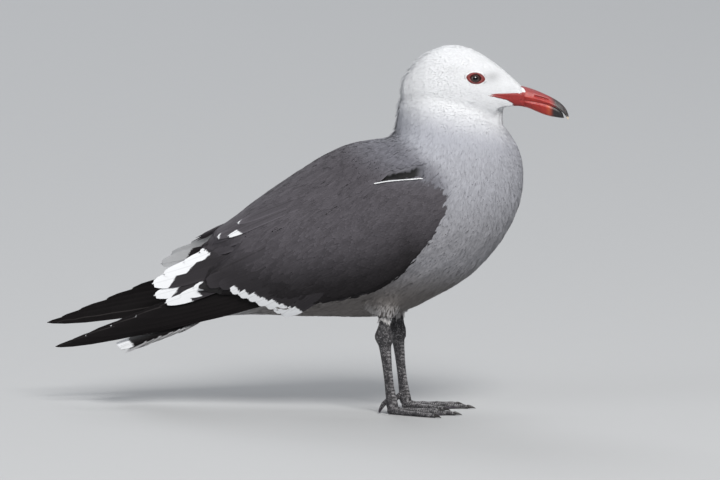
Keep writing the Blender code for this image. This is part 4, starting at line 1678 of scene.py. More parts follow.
SECONDARIES = (
    Quill((80, 118), (47, 95), 10, -2.3),
    Quill((72, 117), (30, 90), 10, -2.2),
    Quill((62, 116), (13, 87), 10, -2.1),
    Quill((50, 116), (-8, 78.0), 12, -1.6, 8.5, 0.0, 2.9, -0.15),
    Quill((43, 115), (-14, 76.0), 12, -1.5, 11.0, 0.0, 2.9, -0.2),
    Quill((36, 114), (-20, 79), 12, -1.4, 10.5, 0.0, 2.8, -0.2),
    Quill((30, 114), (-26.5, 82.5), 12, -1.3, 9.5, 0.0, 2.8, -0.2),
    Quill((22, 114), (-33.5, 85.0), 12, -1.2, 8.5, 0.0, 2.7, -0.2),
    Quill((14, 115), (-40.5, 88), 11, -1.1, 8.0, 0.0, 2.7, -0.2),
    Quill((6, 116), (-47, 91), 11, -1.0, 7.0, 0.0, 2.6, -0.2),
    Quill((-2, 117), (-53, 93.5), 9, -0.9, 6.0, 0.0, 2.6, -0.2),
    Quill((-8, 120), (-62, 98), 12, -0.3, 0.0, 0.0, 1.6),
    Quill((-12, 122), (-72, 99), 12, -0.2, 0.0, 0.0, 1.2),
)
TERTIAL_QUILLS = (
    Quill((-10, 120), (-84, 94.5), 12, -0.9, 10.0, 0.05, 0.8, -0.2),
    Quill((-8, 123), (-95, 88.5), 13, -1.1, 15.0, 0.08, 0.8, -0.2),
    Quill((-6, 126), (-106, 82.5), 13, -1.3, 19.0, 0.10, 0.8, -0.2),
    Quill((-4, 129), (-115.5, 87.5), 14, -1.5, 21.0, 0.10),
    Quill((4, 140), (-117.5, 96.5), 18, -0.6, 20.0, 0.12),
    Quill((8, 148), (-110, 104.5), 15, -0.3, 27.0, 0.10),
    Quill((12, 156), (-94, 114.5), 12, -0.1, 25.0, 0.05),
    Quill((14, 160), (-82, 123.0), 11, 0.0, 22.0, 0.05),
)
SCAPULAR_QUILLS = (
    Quill((16, 150), (-64, 109), 17, -0.9, 0.0, 0.05, 1.4),
    Quill((20, 156), (-72, 119), 16, -0.8, 0.0, 0.05, 1.4),
    Quill((8, 158), (-76, 125), 12, -0.6, 0.0, 0.0, 1.6),
    Quill((16, 166), (-66, 134), 12, -0.4, 3.0, 0.0, 1.6),
    Quill((20, 170), (-56.5, 135.5), 9, -0.2, 10.0, 0.0, 1.8, -0.3),
    Quill((26, 176), (-50, 146), 11, -0.4, 2.5, 0.0, 1.6),
)
PRIMARY_QUILLS = (
    Quill((-12, 92), (-195.5, 45.3), 12, -2.2, 0.0, 0.05),
    Quill((-12, 95), (-184, 49.8), 13, -1.8, 0.0, 0.04),
    Quill((-12, 98), (-171, 54.8), 15, -1.4, 0.7, 0.03),
    Quill((-12, 101), (-151, 63.0), 15, -1.0, 0.8, 0.02),
    Quill((-12, 104), (-131, 71.0), 15, -0.6, 0.8, 0.0),
    Quill((-12, 107), (-114, 78.0), 15, -0.3, 0.0, 0.0),
)


def side_planting(quills: Sequence[Quill], offset: FoldOffset, side: Side) -> Planting:
    """Turn large feathers of the side view into a planting on one wing's sheet.

    Args:
        quills: The feathers.
        offset: How the left wing's group lies.
        side: The wing.

    Returns:
        The planting, whose roots still have to be dropped on the sheet.
    """
    roots, tips = [], []
    for quill in quills:
        x, z = offset.place(*quill.root, side)
        roots.append((x, side.value * 30.0, z))
        x, z = offset.place(*quill.tip, side)
        tips.append((x, side.value * 30.0, z))
    roots, tips = np.array(roots) * MM, np.array(tips) * MM
    sizes = np.array([(q.width, q.level, q.pale, q.bend, q.rise, q.skew) for q in quills])
    lengths = np.linalg.norm(tips - roots, axis=1)
    bends = sizes[:, 3] * side.value
    ways = unit(tips - roots)
    turn = -bends / 2
    up = np.array([0.0, side.value, 0.0])
    ways = ways * np.cos(turn)[:, None] + np.cross(up, ways) * np.sin(turn)[:, None]
    return Planting(
        roots=roots,
        ways=ways,
        lengths=lengths,
        widths=sizes[:, 0] * MM,
        starts=(sizes[:, 1] - 0.8) * MM,
        lifts=sizes[:, 4] * MM,
        bends=bends,
        tilts=0.25 * MM * -side.value,
        pale=sizes[:, 2] * MM - np.where(sizes[:, 2] > 0, 0, 900 * MM),
        skew=sizes[:, 5] * side.value,
        aims=tips,
    )


@dataclass
class Wing:
    """One folded wing: scapulars, coverts, secondaries, tertials and primaries."""

    body: Body
    coat: Coat
    side: Side
    scapular_spacing: float = 0.62
    covert_spacing: float = 0.55

    def build(self) -> None:
        """Lay every feather group of the wing."""
        self.small_feathers()
        self.large_feathers()
        self.long_scapulars()
        self.leading_edge()

    def small_feathers(self) -> None:
        """Lay the scapulars and the rows of coverts, which grow longer towards the rear."""
        side = self.side.value
        scapular = {"rim": 0.35, "streak": 0.40, "shaft": 0.1, "specular": 0.15}
        covert = {"rim": 0.3, "streak": 0.34, "specular": 0.12}
        groups = (
            ("scapular", Region.SHOULDER, LOCK, self.scapular_spacing, scapular),
            ("covert", Region.ARM, SOFT_VANE, self.covert_spacing, covert),
        )
        for name, region, outline, spacing, look in groups:
            plumes = Plumes(20 + region.value)
            open_faces = self.body.open_faces([region])

            def allowed(middle: Array, normal: Array) -> Array:
                """Keep to this wing's outer face."""
                return open_faces & (middle[:, 1] * side > 0) & (normal[:, 1] * side + normal[:, 2] * 0.6 > -0.1)

            roots = scatter(self.body.surface, self.body.wing_lie, spacing, allowed, plumes.random)
            plan = self.coat.plan(roots, self.body.wing_lie, plumes.random)
            plan = self.coat.trim(plan, plumes.random, True)
            laid = plumes.lay(self.body.surface, plan, outline, self.body.wing_lie)
            finish = PlumeFinish(f"{name}_plumage_{self.side.word}", variety=0.13, sheen=0.0, **look).material()
            plumes.piece(f"{name}s_{self.side.word}", laid, outline, Markings.wing, finish, "plumage_wing")

    def large_feathers(self) -> None:
        """Lay the secondaries, tertials and primaries over their fitted sheets."""
        word = self.side.word
        firm = {"streak": 0.16, "white_tips": True, "sheen": 0.0}
        grey = PlumeFinish(f"wing_quills_{word}", rim=0.3, shaft=0.12, specular=0.12, **firm).material()
        black = PlumeFinish(
            f"primary_quills_{word}",
            rim=0.45,
            shaft=0.5,
            shaft_tone=(0.05, 0.045, 0.045),
            roughness=0.6,
            specular=0.10,
            **firm,
        ).material()
        groups = (
            ("secondaries", "coverts", SECONDARIES, FoldOffset(2.0, 0.0), BLUNT_VANE, grey, "plumage_wing"),
            ("tertials", "tertials", TERTIAL_QUILLS, FoldOffset(12.5, -0.5), FIRM_VANE, grey, "plumage_wing"),
            ("primaries", "primaries", PRIMARY_QUILLS, FoldOffset(17.0, 9.0), BLADE, black, "plumage_black"),
        )
        for number, (name, node, quills, offset, outline, finish, slot) in enumerate(groups):
            sheet = FittedSheet(f"wing_{word}_{node}", 1, self.side.value)
            plumes = Plumes(40 + number)
            laid = plumes.lay_to(sheet, side_planting(quills, offset, self.side), outline)
            tone = plain(BLACK) if name == "primaries" else Markings.quills
            piece = plumes.piece(f"{name}_{word}", laid, outline, tone, finish, slot, large=True)
            if name != "secondaries":
                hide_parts(f"wing_{word}_{node}")

    def long_scapulars(self) -> None:
        """Lay the long scapulars with pale ends over the tertials' bases."""
        word = self.side.word
        plan = side_planting(SCAPULAR_QUILLS, FoldOffset(4.0, -16.0), self.side)
        plan.roots = self.body.surface.all_from_side(plan.roots[:, 0], plan.roots[:, 2], self.side)
        plan.tilts[:] = -0.3 * MM * self.side.value
        title = f"long_scapulars_{word}"
        look = {"rim": 0.45, "shaft": 0.35, "streak": 0.3, "variety": 0.15, "sheen": 0.0, "specular": 0.12}
        finish = PlumeFinish(title, white_tips=True, **look).material()
        plumes = Plumes(47)
        laid = plumes.lay_to(self.body.surface, plan, FIRM_VANE)
        plumes.piece(title, laid, FIRM_VANE, Markings.wing, finish, "plumage_wing", large=True)

    def leading_edge(self) -> None:
        """Lay the thin row of white feathers along the wing's upper front edge."""
        places = curve(((99.4, 184.8), (90.0, 184.0), (80.0, 183.2), (72.0, 182.2), (66.0, 181.0)), 16)
        roots = self.body.surface.all_from_side(*places.T * MM, self.side)
        ways = np.tile(unit(np.array([[-1.0, 0.0, -0.11]])), (len(roots), 1))
        plan = Planting(roots, ways, lengths=5.0 * MM, widths=1.0 * MM, starts=0.3 * MM, lifts=0.6 * MM)
        plumes = Plumes(61)
        laid = plumes.lay(self.body.surface, plan, SOFT_VANE)
        finish = PlumeFinish(f"edge_plumage_{self.side.word}").material()
        plumes.piece(f"leading_edge_{self.side.word}", laid, SOFT_VANE, plain(WHITE), finish, "plumage_white")


# ---- the tail


@dataclass
class Tail:
    """The closed fan of tail feathers with white ends, and the soft feathers under it."""

    root_x: float = -78.0
    tip_x: float = -149.5
    root_half: float = 9.0
    tip_half: float = 17.5
    rounding: float = 5.0
    feathers: int = 12
    width: float = 14.0
    white: float = 11.0

    def build(self) -> None:
        """Lay the fan from the outer pair up to the middle one, then the under-tail coverts."""
        sheet = FittedSheet("tail", 2, 1.0, (2, 2))
        share = np.linspace(-1, 1, self.feathers)
        none = np.zeros_like(share)
        tips = np.stack([self.tip_x + self.rounding * share**2, self.tip_half * share, none + 48.0], 1) * MM
        roots = np.stack([none + self.root_x, self.root_half * share, none + 70.0], 1) * MM
        level = -1.6 * np.abs(share)
        plumes = Plumes(71)
        plan = Planting(
            roots=roots,
            ways=unit(tips - roots),
            lengths=np.linalg.norm(tips - roots, axis=1),
            widths=self.width * MM,
            starts=(level - 0.6) * MM,
            lifts=0.4 * MM,
            tilts=0.2 * MM * np.sign(share),
            pale=self.white * MM,
            skew=0.0,
        )
        laid = plumes.lay(sheet, plan, FIRM_VANE)
        look = {"rim": 0.6, "shaft": 0.4, "roughness": 0.65, "sheen": 0.0, "specular": 0.10}
        finish = PlumeFinish("tail_quills", white_tips=True, **look).material()
        piece = plumes.piece("tail_fan", laid, FIRM_VANE, plain(BLACK), finish, "plumage_black", large=True)
        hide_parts("tail")
        self.under_coverts()

    def under_coverts(self) -> None:
        """Lay the soft pale grey feathers under the root of the tail."""
        under = FittedSheet("tail", 2, -1.0, (2, 2))
        random = np.random.default_rng(73)
        rows = []
        for line, x in enumerate(np.linspace(-80.0, -122.0, 11)):
            half = 16.0 + line * 0.5
            for y in np.linspace(-half, half, 13 + line % 2):
                rows.append((x + random.normal(0, 1.2), y, 60.0))
        roots = np.array(rows) * MM
        count = len(roots)
        plumes = Plumes(72)
        plan = Planting(
            roots=roots,
            ways=unit(np.stack([-np.ones(count), roots[:, 1] * 8, -0.3 * np.ones(count)], 1)),
            lengths=random.uniform(17, 23, count) * MM,
            widths=random.uniform(5.0, 6.4, count) * MM,
            starts=0.8 * MM,
            lifts=2.4 * MM,
            bends=random.normal(0, 0.1, count),
            tilts=random.normal(0, 0.1, count) * MM,
        )
        laid = plumes.lay(under, plan, LOCK)
        finish = PlumeFinish("under_tail_plumage").material()
        plumes.piece("under_tail_coat", laid, LOCK, Markings.body, finish, "plumage_grey")


# ---- shapes by operators


def loft(rings: Sequence[Array], closed: bool = False) -> bmesh.types.BMesh:
    """Draw a tube through rings of points.

    Args:
        rings: Rings with equal counts of points, in metres.
        closed: True if the last ring joins the first, as round a ring; otherwise both ends get a cap.

    Returns:
        The new bmesh, its faces outwards.
    """
    bm = bmesh.new()
    count = len(rings[0])
    ring = bmesh.ops.create_circle(bm, cap_ends=False, segments=count, radius=1.0)["verts"]
    for vertex, spot in zip(ring, rings[0]):
        vertex.co = spot
    first = list(ring)
    for spots in rings[1:]:
        inside = set(ring)
        edges = dict.fromkeys(e for v in ring for e in v.link_edges if inside.issuperset(e.verts))
        made = bmesh.ops.extrude_edge_only(bm, edges=list(edges))["geom"]
        fresh = {item for item in made if isinstance(item, bmesh.types.BMVert)}
        ring = [next(e.other_vert(v) for e in v.link_edges if e.other_vert(v) in fresh) for v in ring]
        for vertex, spot in zip(ring, spots):
            vertex.co = spot
    if closed:
        bmesh.ops.bridge_loops(bm, edges=[e for e in bm.edges if e.is_boundary])
    else:
        for end in (first, ring):
            bmesh.ops.contextual_create(bm, geom=end)
    bmesh.ops.recalc_face_normals(bm, faces=bm.faces)
    return bm


def thicken(bm: bmesh.types.BMesh, outwards: tuple[float, float, float], depth: float) -> None:
    """Turn an open sheet's faces one way and give it a thickness.

    Args:
        bm: The sheet.
        outwards: The way its faces shall look, on the whole.
        depth: The thickness, in metres.
    """
    bmesh.ops.recalc_face_normals(bm, faces=bm.faces)
    if sum(face.normal.dot(Vector(outwards)) for face in bm.faces) < 0:
        bmesh.ops.reverse_faces(bm, faces=bm.faces)
    bmesh.ops.solidify(bm, geom=bm.faces[:], thickness=depth)


def to_mesh(bm: bmesh.types.BMesh, name: str) -> Mesh:
    """Turn a bmesh into a smooth-shaded mesh and free it."""
    for face in bm.faces:
        face.smooth = True
    mesh = bpy.data.meshes.new(name)
    bm.to_mesh(mesh)
    bm.free()
    return mesh


# ---- the bill


@dataclass
class Bill:
    """Both halves of the bill, each a loft from ridge to cutting edge, and the red skin of the gape."""

    body: Body
    upper: Table = (  # ridge x, z, edge x, z, half width, in mm
        (163.0, 252.0, 166.0, 243.4, 6.0),
        (167.0, 252.6, 170.0, 242.8, 6.1),
        (171.0, 252.0, 173.5, 242.2, 5.9),
        (177.0, 250.2, 178.4, 241.5, 5.5),
        (182.8, 248.0, 184.0, 240.6, 5.1),
        (190.3, 244.7, 190.4, 238.7, 4.6),
        (195.2, 242.0, 195.0, 236.6, 3.9),
        (198.6, 239.6, 198.0, 234.6, 3.3),
        (201.8, 236.2, 200.6, 232.4, 2.5),
        (203.7, 232.6, 202.2, 230.3, 1.6),
        (204.5, 229.4, 203.1, 228.4, 0.9),
        (204.5, 227.6, 203.8, 227.2, 0.35),
    )
    lower: Table = (  # edge x, z, ridge x, z, half width
        (160.0, 243.6, 160.0, 239.2, 5.0),
        (166.0, 243.0, 166.0, 237.4, 5.3),
        (173.5, 241.9, 173.0, 235.8, 5.2),
        (178.4, 241.2, 178.6, 233.6, 4.8),
        (184.0, 240.3, 184.6, 231.3, 4.4),
        (190.2, 238.3, 190.0, 229.8, 3.9),
        (194.6, 236.3, 195.2, 229.0, 3.1),
        (197.6, 234.2, 198.6, 228.6, 2.2),
        (199.6, 232.0, 200.8, 228.6, 1.1),
    )
    rings: int = 96
    points: int = 20  # down one side of a ring
    nostril: tuple[float, float, float, float] = (178.4, 245.5, 189.2, 242.6)  # x, z of its rear and front end
    gape_from: float = 144.4  # x of the corner of the mouth
    gape_length: float = 26.6
    gape_thickness: float = 0.9 * MM

    def half(self, table: Table, ridge_first: bool) -> list[Array]:
        """Draw one half of the bill.

        Args:
            table: Its sections from base to tip.
            ridge_first: True if each section starts at the ridge, as above, and not at the cutting edge.

        Returns:
            Its rings of points, in metres.
        """
        rings = []
        t = np.linspace(0, 1, self.points)
        down = 1 - (1 - t) ** 1.5 if ridge_first else t**1.5
        ridge_side = down if ridge_first else 1 - down
        for ax, az, bx, bz, wide in curve(table, self.rings):
            y = wide * np.clip(ridge_side / 0.72, 0, 1) ** 0.58 * (1 - 0.16 * smooth(ridge_side, 0.72, 1.0))
            x, z = ax + (bx - ax) * down, az + (bz - az) * down
            right = np.stack([x, -y, z], 1)
            left = np.stack([x, y, z], 1)[::-1]
            if ridge_first:
                left = left[:-1]
            else:
                right, left = right, left[1:] if y[-1] < 1e-9 else left
            rings.append(np.vstack([right, left]) * MM)
        return rings

    def build(self) -> None:
        """Make the upper half with its nostrils, the lower half and the gape."""
        upper = to_mesh(loft(self.half(self.upper, True)), "upper")
        put_points(upper, self.shape_upper(points_of(upper)))
        piece = show("bill_upper", upper, HornFinish("bill_upper_horn").material())
        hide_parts("upper_bill")
        lower = to_mesh(loft(self.half(self.lower, False)), "lower")
        piece = show("bill_lower", lower, HornFinish("bill_lower_horn", upper=False).material())
        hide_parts("lower_bill")
        ground = Ground(upper)
        for side in Side:
            self.gape(side)
            self.feathering(ground, side)

    def feathering(self, ground: Ground, side: Side) -> None:
        """Lay the short white tufts that run forward in a point over the base of the upper half."""
        plumes = Plumes(85)
        spots = [(x, z) for z in np.arange(247.9, 253.2, 0.55) for x in np.arange(163.5, 172.4, 0.6)]
        spots = np.array(spots) + plumes.random.normal(0, 0.15, (len(spots), 2))
        limit = np.interp(spots[:, 1], (247.6, 248.7, 250.5, 252.7), (168.6, 172.2, 170.5, 167.0))
        spots = spots[spots[:, 0] < limit]
        count = len(spots)
        plan = Planting(
            roots=ground.all_from_side(*spots.T * MM, side),
            ways=unit(np.stack([-np.ones(count), np.zeros(count), plumes.random.normal(0.05, 0.08, count)], 1)),
            lengths=plumes.random.uniform(2.2, 3.0, count) * MM,
            widths=plumes.random.uniform(0.8, 1.0, count) * MM,
            starts=-0.05 * MM,
            lifts=plumes.random.uniform(0.25, 0.5, count) * MM,
        )
        laid = plumes.lay(ground, plan, DOWN_TUFT)
        name = f"bill_plumage_{side.word}"
        finish = PlumeFinish(name, streak=0.06, variety=0.03, sheen=0.05).material()
        plumes.piece(f"bill_edge_coat_{side.word}", laid, DOWN_TUFT, Markings.body, finish, "plumage_white")

    def shape_upper(self, rows: Array) -> Array:
        """Press the nostrils and the groove along the side into the upper half."""
        x, y, z = (rows / MM).T
        ax, az, bx, bz = self.nostril
        along = np.array([bx - ax, bz - az])
        share = ((x - ax) * along[0] + (z - az) * along[1]) / (along**2).sum()
        off = ((x - ax) * -along[1] + (z - az) * along[0]) / np.linalg.norm(along)
        reach = 1.15 - 0.45 * np.abs(share - 0.45)
        dent = np.exp(-((off / (0.62 * reach)) ** 2) * 1.4) * smooth(share, -0.06, 0.10) * smooth(share, 1.08, 0.9)
        groove = np.exp(-(((off + 0.4) / 1.1) ** 2)) * smooth(share, -1.0, -0.3) * smooth(share, 1.7, 1.0) * 0.22
        inward = np.where(np.abs(y) > 1.0, np.sign(y), 0.0) * (dent * 1.7 + groove)
        return np.stack([rows[:, 0], rows[:, 1] - inward * MM, rows[:, 2]], 1)

    def gape(self, side: Side) -> None:
        """Make the strip of bare red skin that runs back from the bill to the corner of the mouth."""
        bm = bmesh.new()
        bmesh.ops.create_grid(bm, x_segments=30, y_segments=8, size=1.0)
        for vertex in bm.verts:
            s, t = (vertex.co.x + 1) / 2, (vertex.co.y + 1) / 2
            x = self.gape_from + self.gape_length * s
            line = float(np.interp(x, (144.4, 150.8, 157.0, 169.4), (246.6, 246.5, 245.0, 242.8)))
            high = float(np.interp(x, (144.4, 150.0, 169.4), (246.7, 247.7, 247.9)))
            low = float(np.interp(x, *self.body.gape_low))
            z = low + (high - low) * t
            wide = abs(self.body.surface.from_side(min(x, 167.0) * MM, z * MM, side)[1]) / MM
            wide += (5.9 - 1.2 * smooth(np.array(z), 240.0, 237.0) - wide) * float(smooth(np.array(x), 164.5, 170.0))
            fold = math.exp(-(((z - line) / 0.45) ** 2))
            rise = 0.1 + 0.35 * math.sin(math.pi * t) ** 0.5 * min(1.0, 4 * s + 0.2) - 0.5 * fold
            vertex.co = (x * MM, side.value * (wide + rise) * MM, z * MM)
        thicken(bm, (0.0, side.value, 0.0), self.gape_thickness)
        finish = LidFinish(f"gape_skin_{side.word}", red=(0.34, 0.024, 0.022), deep=(0.22, 0.015, 0.014))
        show(f"gape_{side.word}", to_mesh(bm, "gape"), finish.material())


# ---- the eyes


@dataclass
class Eye:
    """One eye: the ball with its cornea, the red lid ring and the white crescents round it."""

    body: Body
    side: Side
    spot: Pair = EYE_SPOT
    radius: float = 5.0
    bulge: float = 1.2  # how far the ball stands out of the face
    opening: Pair = (4.1, 3.25)
    ring: Pair = (7.1, 4.35)
    tilt: float = -9.0  # the front corner lies lower
    face_round: Pair = (9.5, 7.0)  # half axes of the oval of face that gives the eye its direction

    def __post_init__(self) -> None:
        """Find the face's surface at the eye and set the ball in it, in mm."""
        x, z = self.almond(math.tau * np.arange(12) / 12, self.face_round)
        x, z = np.append(self.spot[0], x), np.append(self.spot[1], z)
        places = self.body.surface.all_from_side(x * MM, z * MM, self.side)
        out = np.linalg.svd(places - places.mean(0))[2][2]
        out *= np.sign(out[1]) * self.side.value
        centre = places[0] / MM - out * (self.radius - self.bulge)
        self.centre = (float(centre[0]), abs(float(centre[1])), float(centre[2]))

    def build(self) -> None:
        """Make the ball, the lids and the crescents."""
        centre = Vector((self.centre[0], self.centre[1] * self.side.value, self.centre[2])) * MM
        bm = bmesh.new()
        bmesh.ops.create_uvsphere(bm, u_segments=56, v_segments=36, radius=self.radius * MM)
        for vertex in bm.verts:
            x, y, z = vertex.co
            swell = 1.0 + 0.045 * float(smooth(np.array(z / (self.radius * MM)), 0.72, 1.0))
            vertex.co = centre + Vector((x, z * self.side.value, y)) * swell
        bmesh.ops.recalc_face_normals(bm, faces=bm.faces)
        finish = EyeFinish(f"eye_{self.side.word}").material()
        ball = show(f"eyeball_{self.side.word}", to_mesh(bm, "ball"), finish)
        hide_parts(f"eye_{self.side.word}")
        self.lids()
        self.crescents()

    def almond(self, turn: Array, half: Pair) -> tuple[Array, Array]:
        """Draw the pointed oval round the eye.

        Args:
            turn: How far round each point is, in radians.
            half: The oval's half axes, in mm.

        Returns:
            The points' x and z.
        """
        x = half[0] * np.cos(turn)
        z = half[1] * np.sign(np.sin(turn)) * np.abs(np.sin(turn)) ** 1.25
        cos, sin = math.cos(math.radians(self.tilt)), math.sin(math.radians(self.tilt))
        return self.spot[0] + x * cos - z * sin, self.spot[1] + x * sin + z * cos

    def front(self, x: Array, z: Array) -> Array:
        """Measure how far out the ball or the face lies.

        Args:
            x: How far forward, in mm.
            z: The height.

        Returns:
            The distance from the midline.
        """
        inside = np.clip((self.radius + 0.2) ** 2 - (x - self.centre[0]) ** 2 - (z - self.centre[2]) ** 2, 0, None)
        ball = self.centre[1] + np.sqrt(inside)
        face = np.abs(self.body.surface.all_from_side(x * MM, z * MM, self.side)[:, 1]) / MM
        return np.maximum(ball * (inside > 0), face + 0.05)

    def lids(self) -> None:
        """Make the red ring with rounded edges that the ball looks out through."""
        turns = np.linspace(0, math.tau, 72, endpoint=False)
        section = []
        for k in range(12):
            angle = math.tau * k / 12
            share = 0.5 - 0.5 * math.cos(angle)
            half = [a + (b - a) * share for a, b in zip(self.opening, self.ring)]
            x, z = self.almond(turns, tuple(half))
            rise = 0.42 * math.sin(angle) if angle < math.pi else 1.1 * math.sin(angle)
            y = self.front(x, z) + rise
            section.append(np.stack([x, y * self.side.value, z], 1) * MM)
        rings = [np.array([loop[i] for loop in section]) for i in range(len(turns))]
        mesh = to_mesh(loft(rings, closed=True), "lids")
        put_points(mesh, relax(mesh, points_of(mesh), 2))
        show(f"lids_{self.side.word}", mesh, LidFinish(f"lid_skin_{self.side.word}").material())

    def crescents(self) -> None:
        """Lay the ring of short white feathers that borders the lids, broken at both corners."""
        plumes = Plumes(80)
        roots, ways = [], []
        for grow, count in ((0.15, 70), (0.6, 76)):
            turns = np.linspace(0, math.tau, count, endpoint=False) + plumes.random.normal(0, 0.01, count)
            x, z = self.almond(turns, (self.ring[0] + grow, self.ring[1] + grow))
            half = (self.ring[0] + grow + 0.02, self.ring[1] + grow + 0.02)
            ahead = self.almond(turns + np.where(np.sin(turns) > 0, 0.05, -0.05), half)
            roots += list(self.body.skin_ground.all_from_side(x * MM, z * MM, self.side))
            out = np.stack([x - self.spot[0], np.zeros_like(x), z - self.spot[1]], 1) * 0.04
            ways += list(unit(np.stack([ahead[0] - x, np.zeros_like(x), ahead[1] - z], 1)) + out)
        roots, ways = np.array(roots), unit(np.array(ways))
        count = len(roots)
        plan = Planting(
            roots=roots,
            ways=ways,
            lengths=plumes.random.uniform(1.7, 2.3, count) * MM,
            widths=plumes.random.uniform(0.6, 0.8, count) * MM,
            starts=-0.05 * MM,
            lifts=plumes.random.uniform(0.35, 0.55, count) * MM,
        )
        laid = plumes.lay(self.body.skin_ground, plan, DOWN_TUFT)

        def white(p: Array) -> Array:
            """Return a bright white, greyer at the corners of the eye."""
            side = np.abs(p[:, 0] - self.centre[0])
            return blend(smooth(side, 5.6, 7.6), (0.86, 0.86, 0.87), (0.56, 0.56, 0.58))

        finish = PlumeFinish(f"crescent_plumage_{self.side.word}").material()
        plumes.piece(f"eye_crescents_{self.side.word}", laid, DOWN_TUFT, white, finish, "plumage_white")


# ---- legs and feet


def ridge(share: Array) -> Array:
    """Return the height of a rounded scale, from 0 to 1, at a share of its length."""
    return np.sin(np.pi * np.clip(share, 0, 1)) ** 0.45


@dataclass
class Leg:
    """One bare leg with its knobbly ankle, scaled tarsus, webbed foot, hind toe and claws."""

    side: Side
    spread: float = 22.0
    heels: Pair = (70.0, 72.6)  # x of the right and the left heel
    shaft: Table = (  # x, z, half length along x, half width
        (65.6, 80.0, 3.9, 3.3),
        (65.2, 72.0, 4.1, 3.4),
        (64.7, 66.0, 5.2, 3.9),
        (64.4, 61.5, 6.8, 4.4),
        (64.5, 58.0, 6.9, 4.4),
        (65.1, 55.2, 6.2, 4.3),
        (65.3, 52.2, 4.9, 3.7),
        (66.2, 44.0, 4.1, 3.0),
        (67.4, 33.0, 3.6, 2.6),
        (68.7, 22.0, 3.6, 2.6),
        (70.0, 13.0, 4.1, 3.0),
        (70.9, 7.0, 4.6, 3.7),
        (71.6, 3.4, 4.2, 3.9),
    )
    hind: Table = (  # x, z, radius
        (68.0, 11.0, 2.0),
        (64.6, 8.0, 1.9),
        (62.3, 4.8, 1.5),
        (61.0, 2.2, 1.1),
        (60.5, 0.9, 0.75),
    )
    toe_angles: tuple[float, ...] = (-31.0, -6.0, 19.0)  # outer, middle, inner, in degrees
    toe_lengths: tuple[float, ...] = (43.0, 50.0, 38.0)
    toe_radius: float = 2.3
    notch: float = 8.0
    scute: float = 2.6  # length of one scale down the front of the leg
    toe_scute: float = 1.7
    web_thickness: float = 0.85 * MM
    claw_length: float = 5.6
    claw_radius: float = 1.42
    voxel: float = 0.42 * MM
    tufts: int = 300  # in the fringe
    fringe_foot: float = 74.5
    fringe_height: float = 20.0

    @property
    def shift(self) -> float:
        """How far ahead of the right leg this one stands, in mm."""
        return self.heels[1] - self.heels[0] if self.side is Side.LEFT else 0.0

    def toe(self, index: int, s: float) -> tuple[Vector, Vector, Vector]:
        """Return a toe's middle line at a share of its length.

        Args:
            index: 0 for the outer, 1 for the middle and 2 for the inner toe.
            s: The share of its length, from the heel.

        Returns:
            The place, and the ways ahead and outwards, level and in mm from the heel's own frame.
        """
        turn = math.radians(self.toe_angles[index] + 5.0 * s)
        ahead = Vector((math.cos(turn), -math.sin(turn), 0))
        outward = Vector((math.sin(turn), math.cos(turn), 0))
        place = Vector((70.0 + self.shift, self.spread, 0)) + ahead * (self.toe_lengths[index] * s)
        return place - outward * (self.toe_angles[index] * 0.055), ahead, outward

    def placed(self, spot: Vector) -> Vector:
        """Turn millimetres on the left side into metres on this side."""
        return Vector((spot.x, spot.y * self.side.value, spot.z)) * MM

    def build(self, flesh: Ground) -> None:
        """Fuse shaft, toes and webs, press the scales in, and add the fringe and the claws.

        Args:
            flesh: The body's surface.
        """
        parts = [self.shaft_part(), self.hind_part()]
        parts += [self.toe_part(index) for index in range(3)]
        parts += [self.web_part(index) for index in range(2)]
        mesh = fuse("leg", parts, self.voxel, 6)
        self.scales(mesh)
        word = self.side.word
        piece = show(f"leg_{word}", mesh, ScaleFinish(f"leg_scales_{word}").material())
        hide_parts(f"shank_{word}", f"tarsus_{word}", f"foot_{word}", f"hallux_{word}")
        self.fringe(Ground(mesh), flesh)
        self.claws()

    def fringe(self, ground: Ground, flesh: Ground) -> None:
        """Hang the frayed pale tufts that cover the thigh's end and the top of the leg.

        Args:
            ground: The leg's surface.
            flesh: The body's surface.
        """
        plumes = Plumes(90)
        random, count = plumes.random, self.tufts
        turn = random.uniform(0, math.tau, count)
        high = random.uniform(0.0, 1.0, count)
        x = 65.4 + self.shift + (4.0 + 5.0 * high) * np.cos(turn) - 3.0 * high
        y = (self.spread + (3.4 + 5.0 * high) * np.sin(turn)) * self.side.value
        spots = np.stack([x, y, self.fringe_foot + self.fringe_height * high], 1) * MM
        upper = high >= 0.25
        plan = Planting(
            roots=np.where(upper[:, None], flesh.nearest(spots)[0], ground.nearest(spots)[0]),
            ways=unit(np.stack([random.normal(-0.1, 0.12, count) - 0.5 * high, np.zeros(count), -np.ones(count)], 1)),
            lengths=random.uniform(3.5, 7.5, count) * MM,
            widths=random.uniform(0.9, 1.5, count) * MM,
            starts=0.1 * MM,
            lifts=random.uniform(0.5, 1.5, count) * MM,
            bends=random.normal(0, 0.2, count),
            tilts=random.normal(0, 0.1, count) * MM,
        )
        high_part = plumes.lay(flesh, plan.only(upper), STRAND)
        low_part = plumes.lay(ground, plan.only(~upper), STRAND)
        laid = {key: np.concatenate([rows, low_part[key]]) for key, rows in high_part.items()}
        name = f"thigh_plumage_{self.side.word}"
        finish = PlumeFinish(name, streak=0.2, variety=0.2, sheen=0.05).material()

        def pale(p: Array) -> Array:
            """Return a pale grey, paler at the free ends."""
            return blend(smooth(p[:, 2], 88.0, 74.0), BELLY_GREY, (0.36, 0.35, 0.35))

        plumes.piece(f"thigh_fringe_{self.side.word}", laid, STRAND, pale, finish, "plumage_grey")

    def ring(self, spots: Iterable[Vector]) -> Array:
        """Return points of a ring, given in mm on the left side, in metres on this side."""
        return np.array([self.placed(spot) for spot in spots])

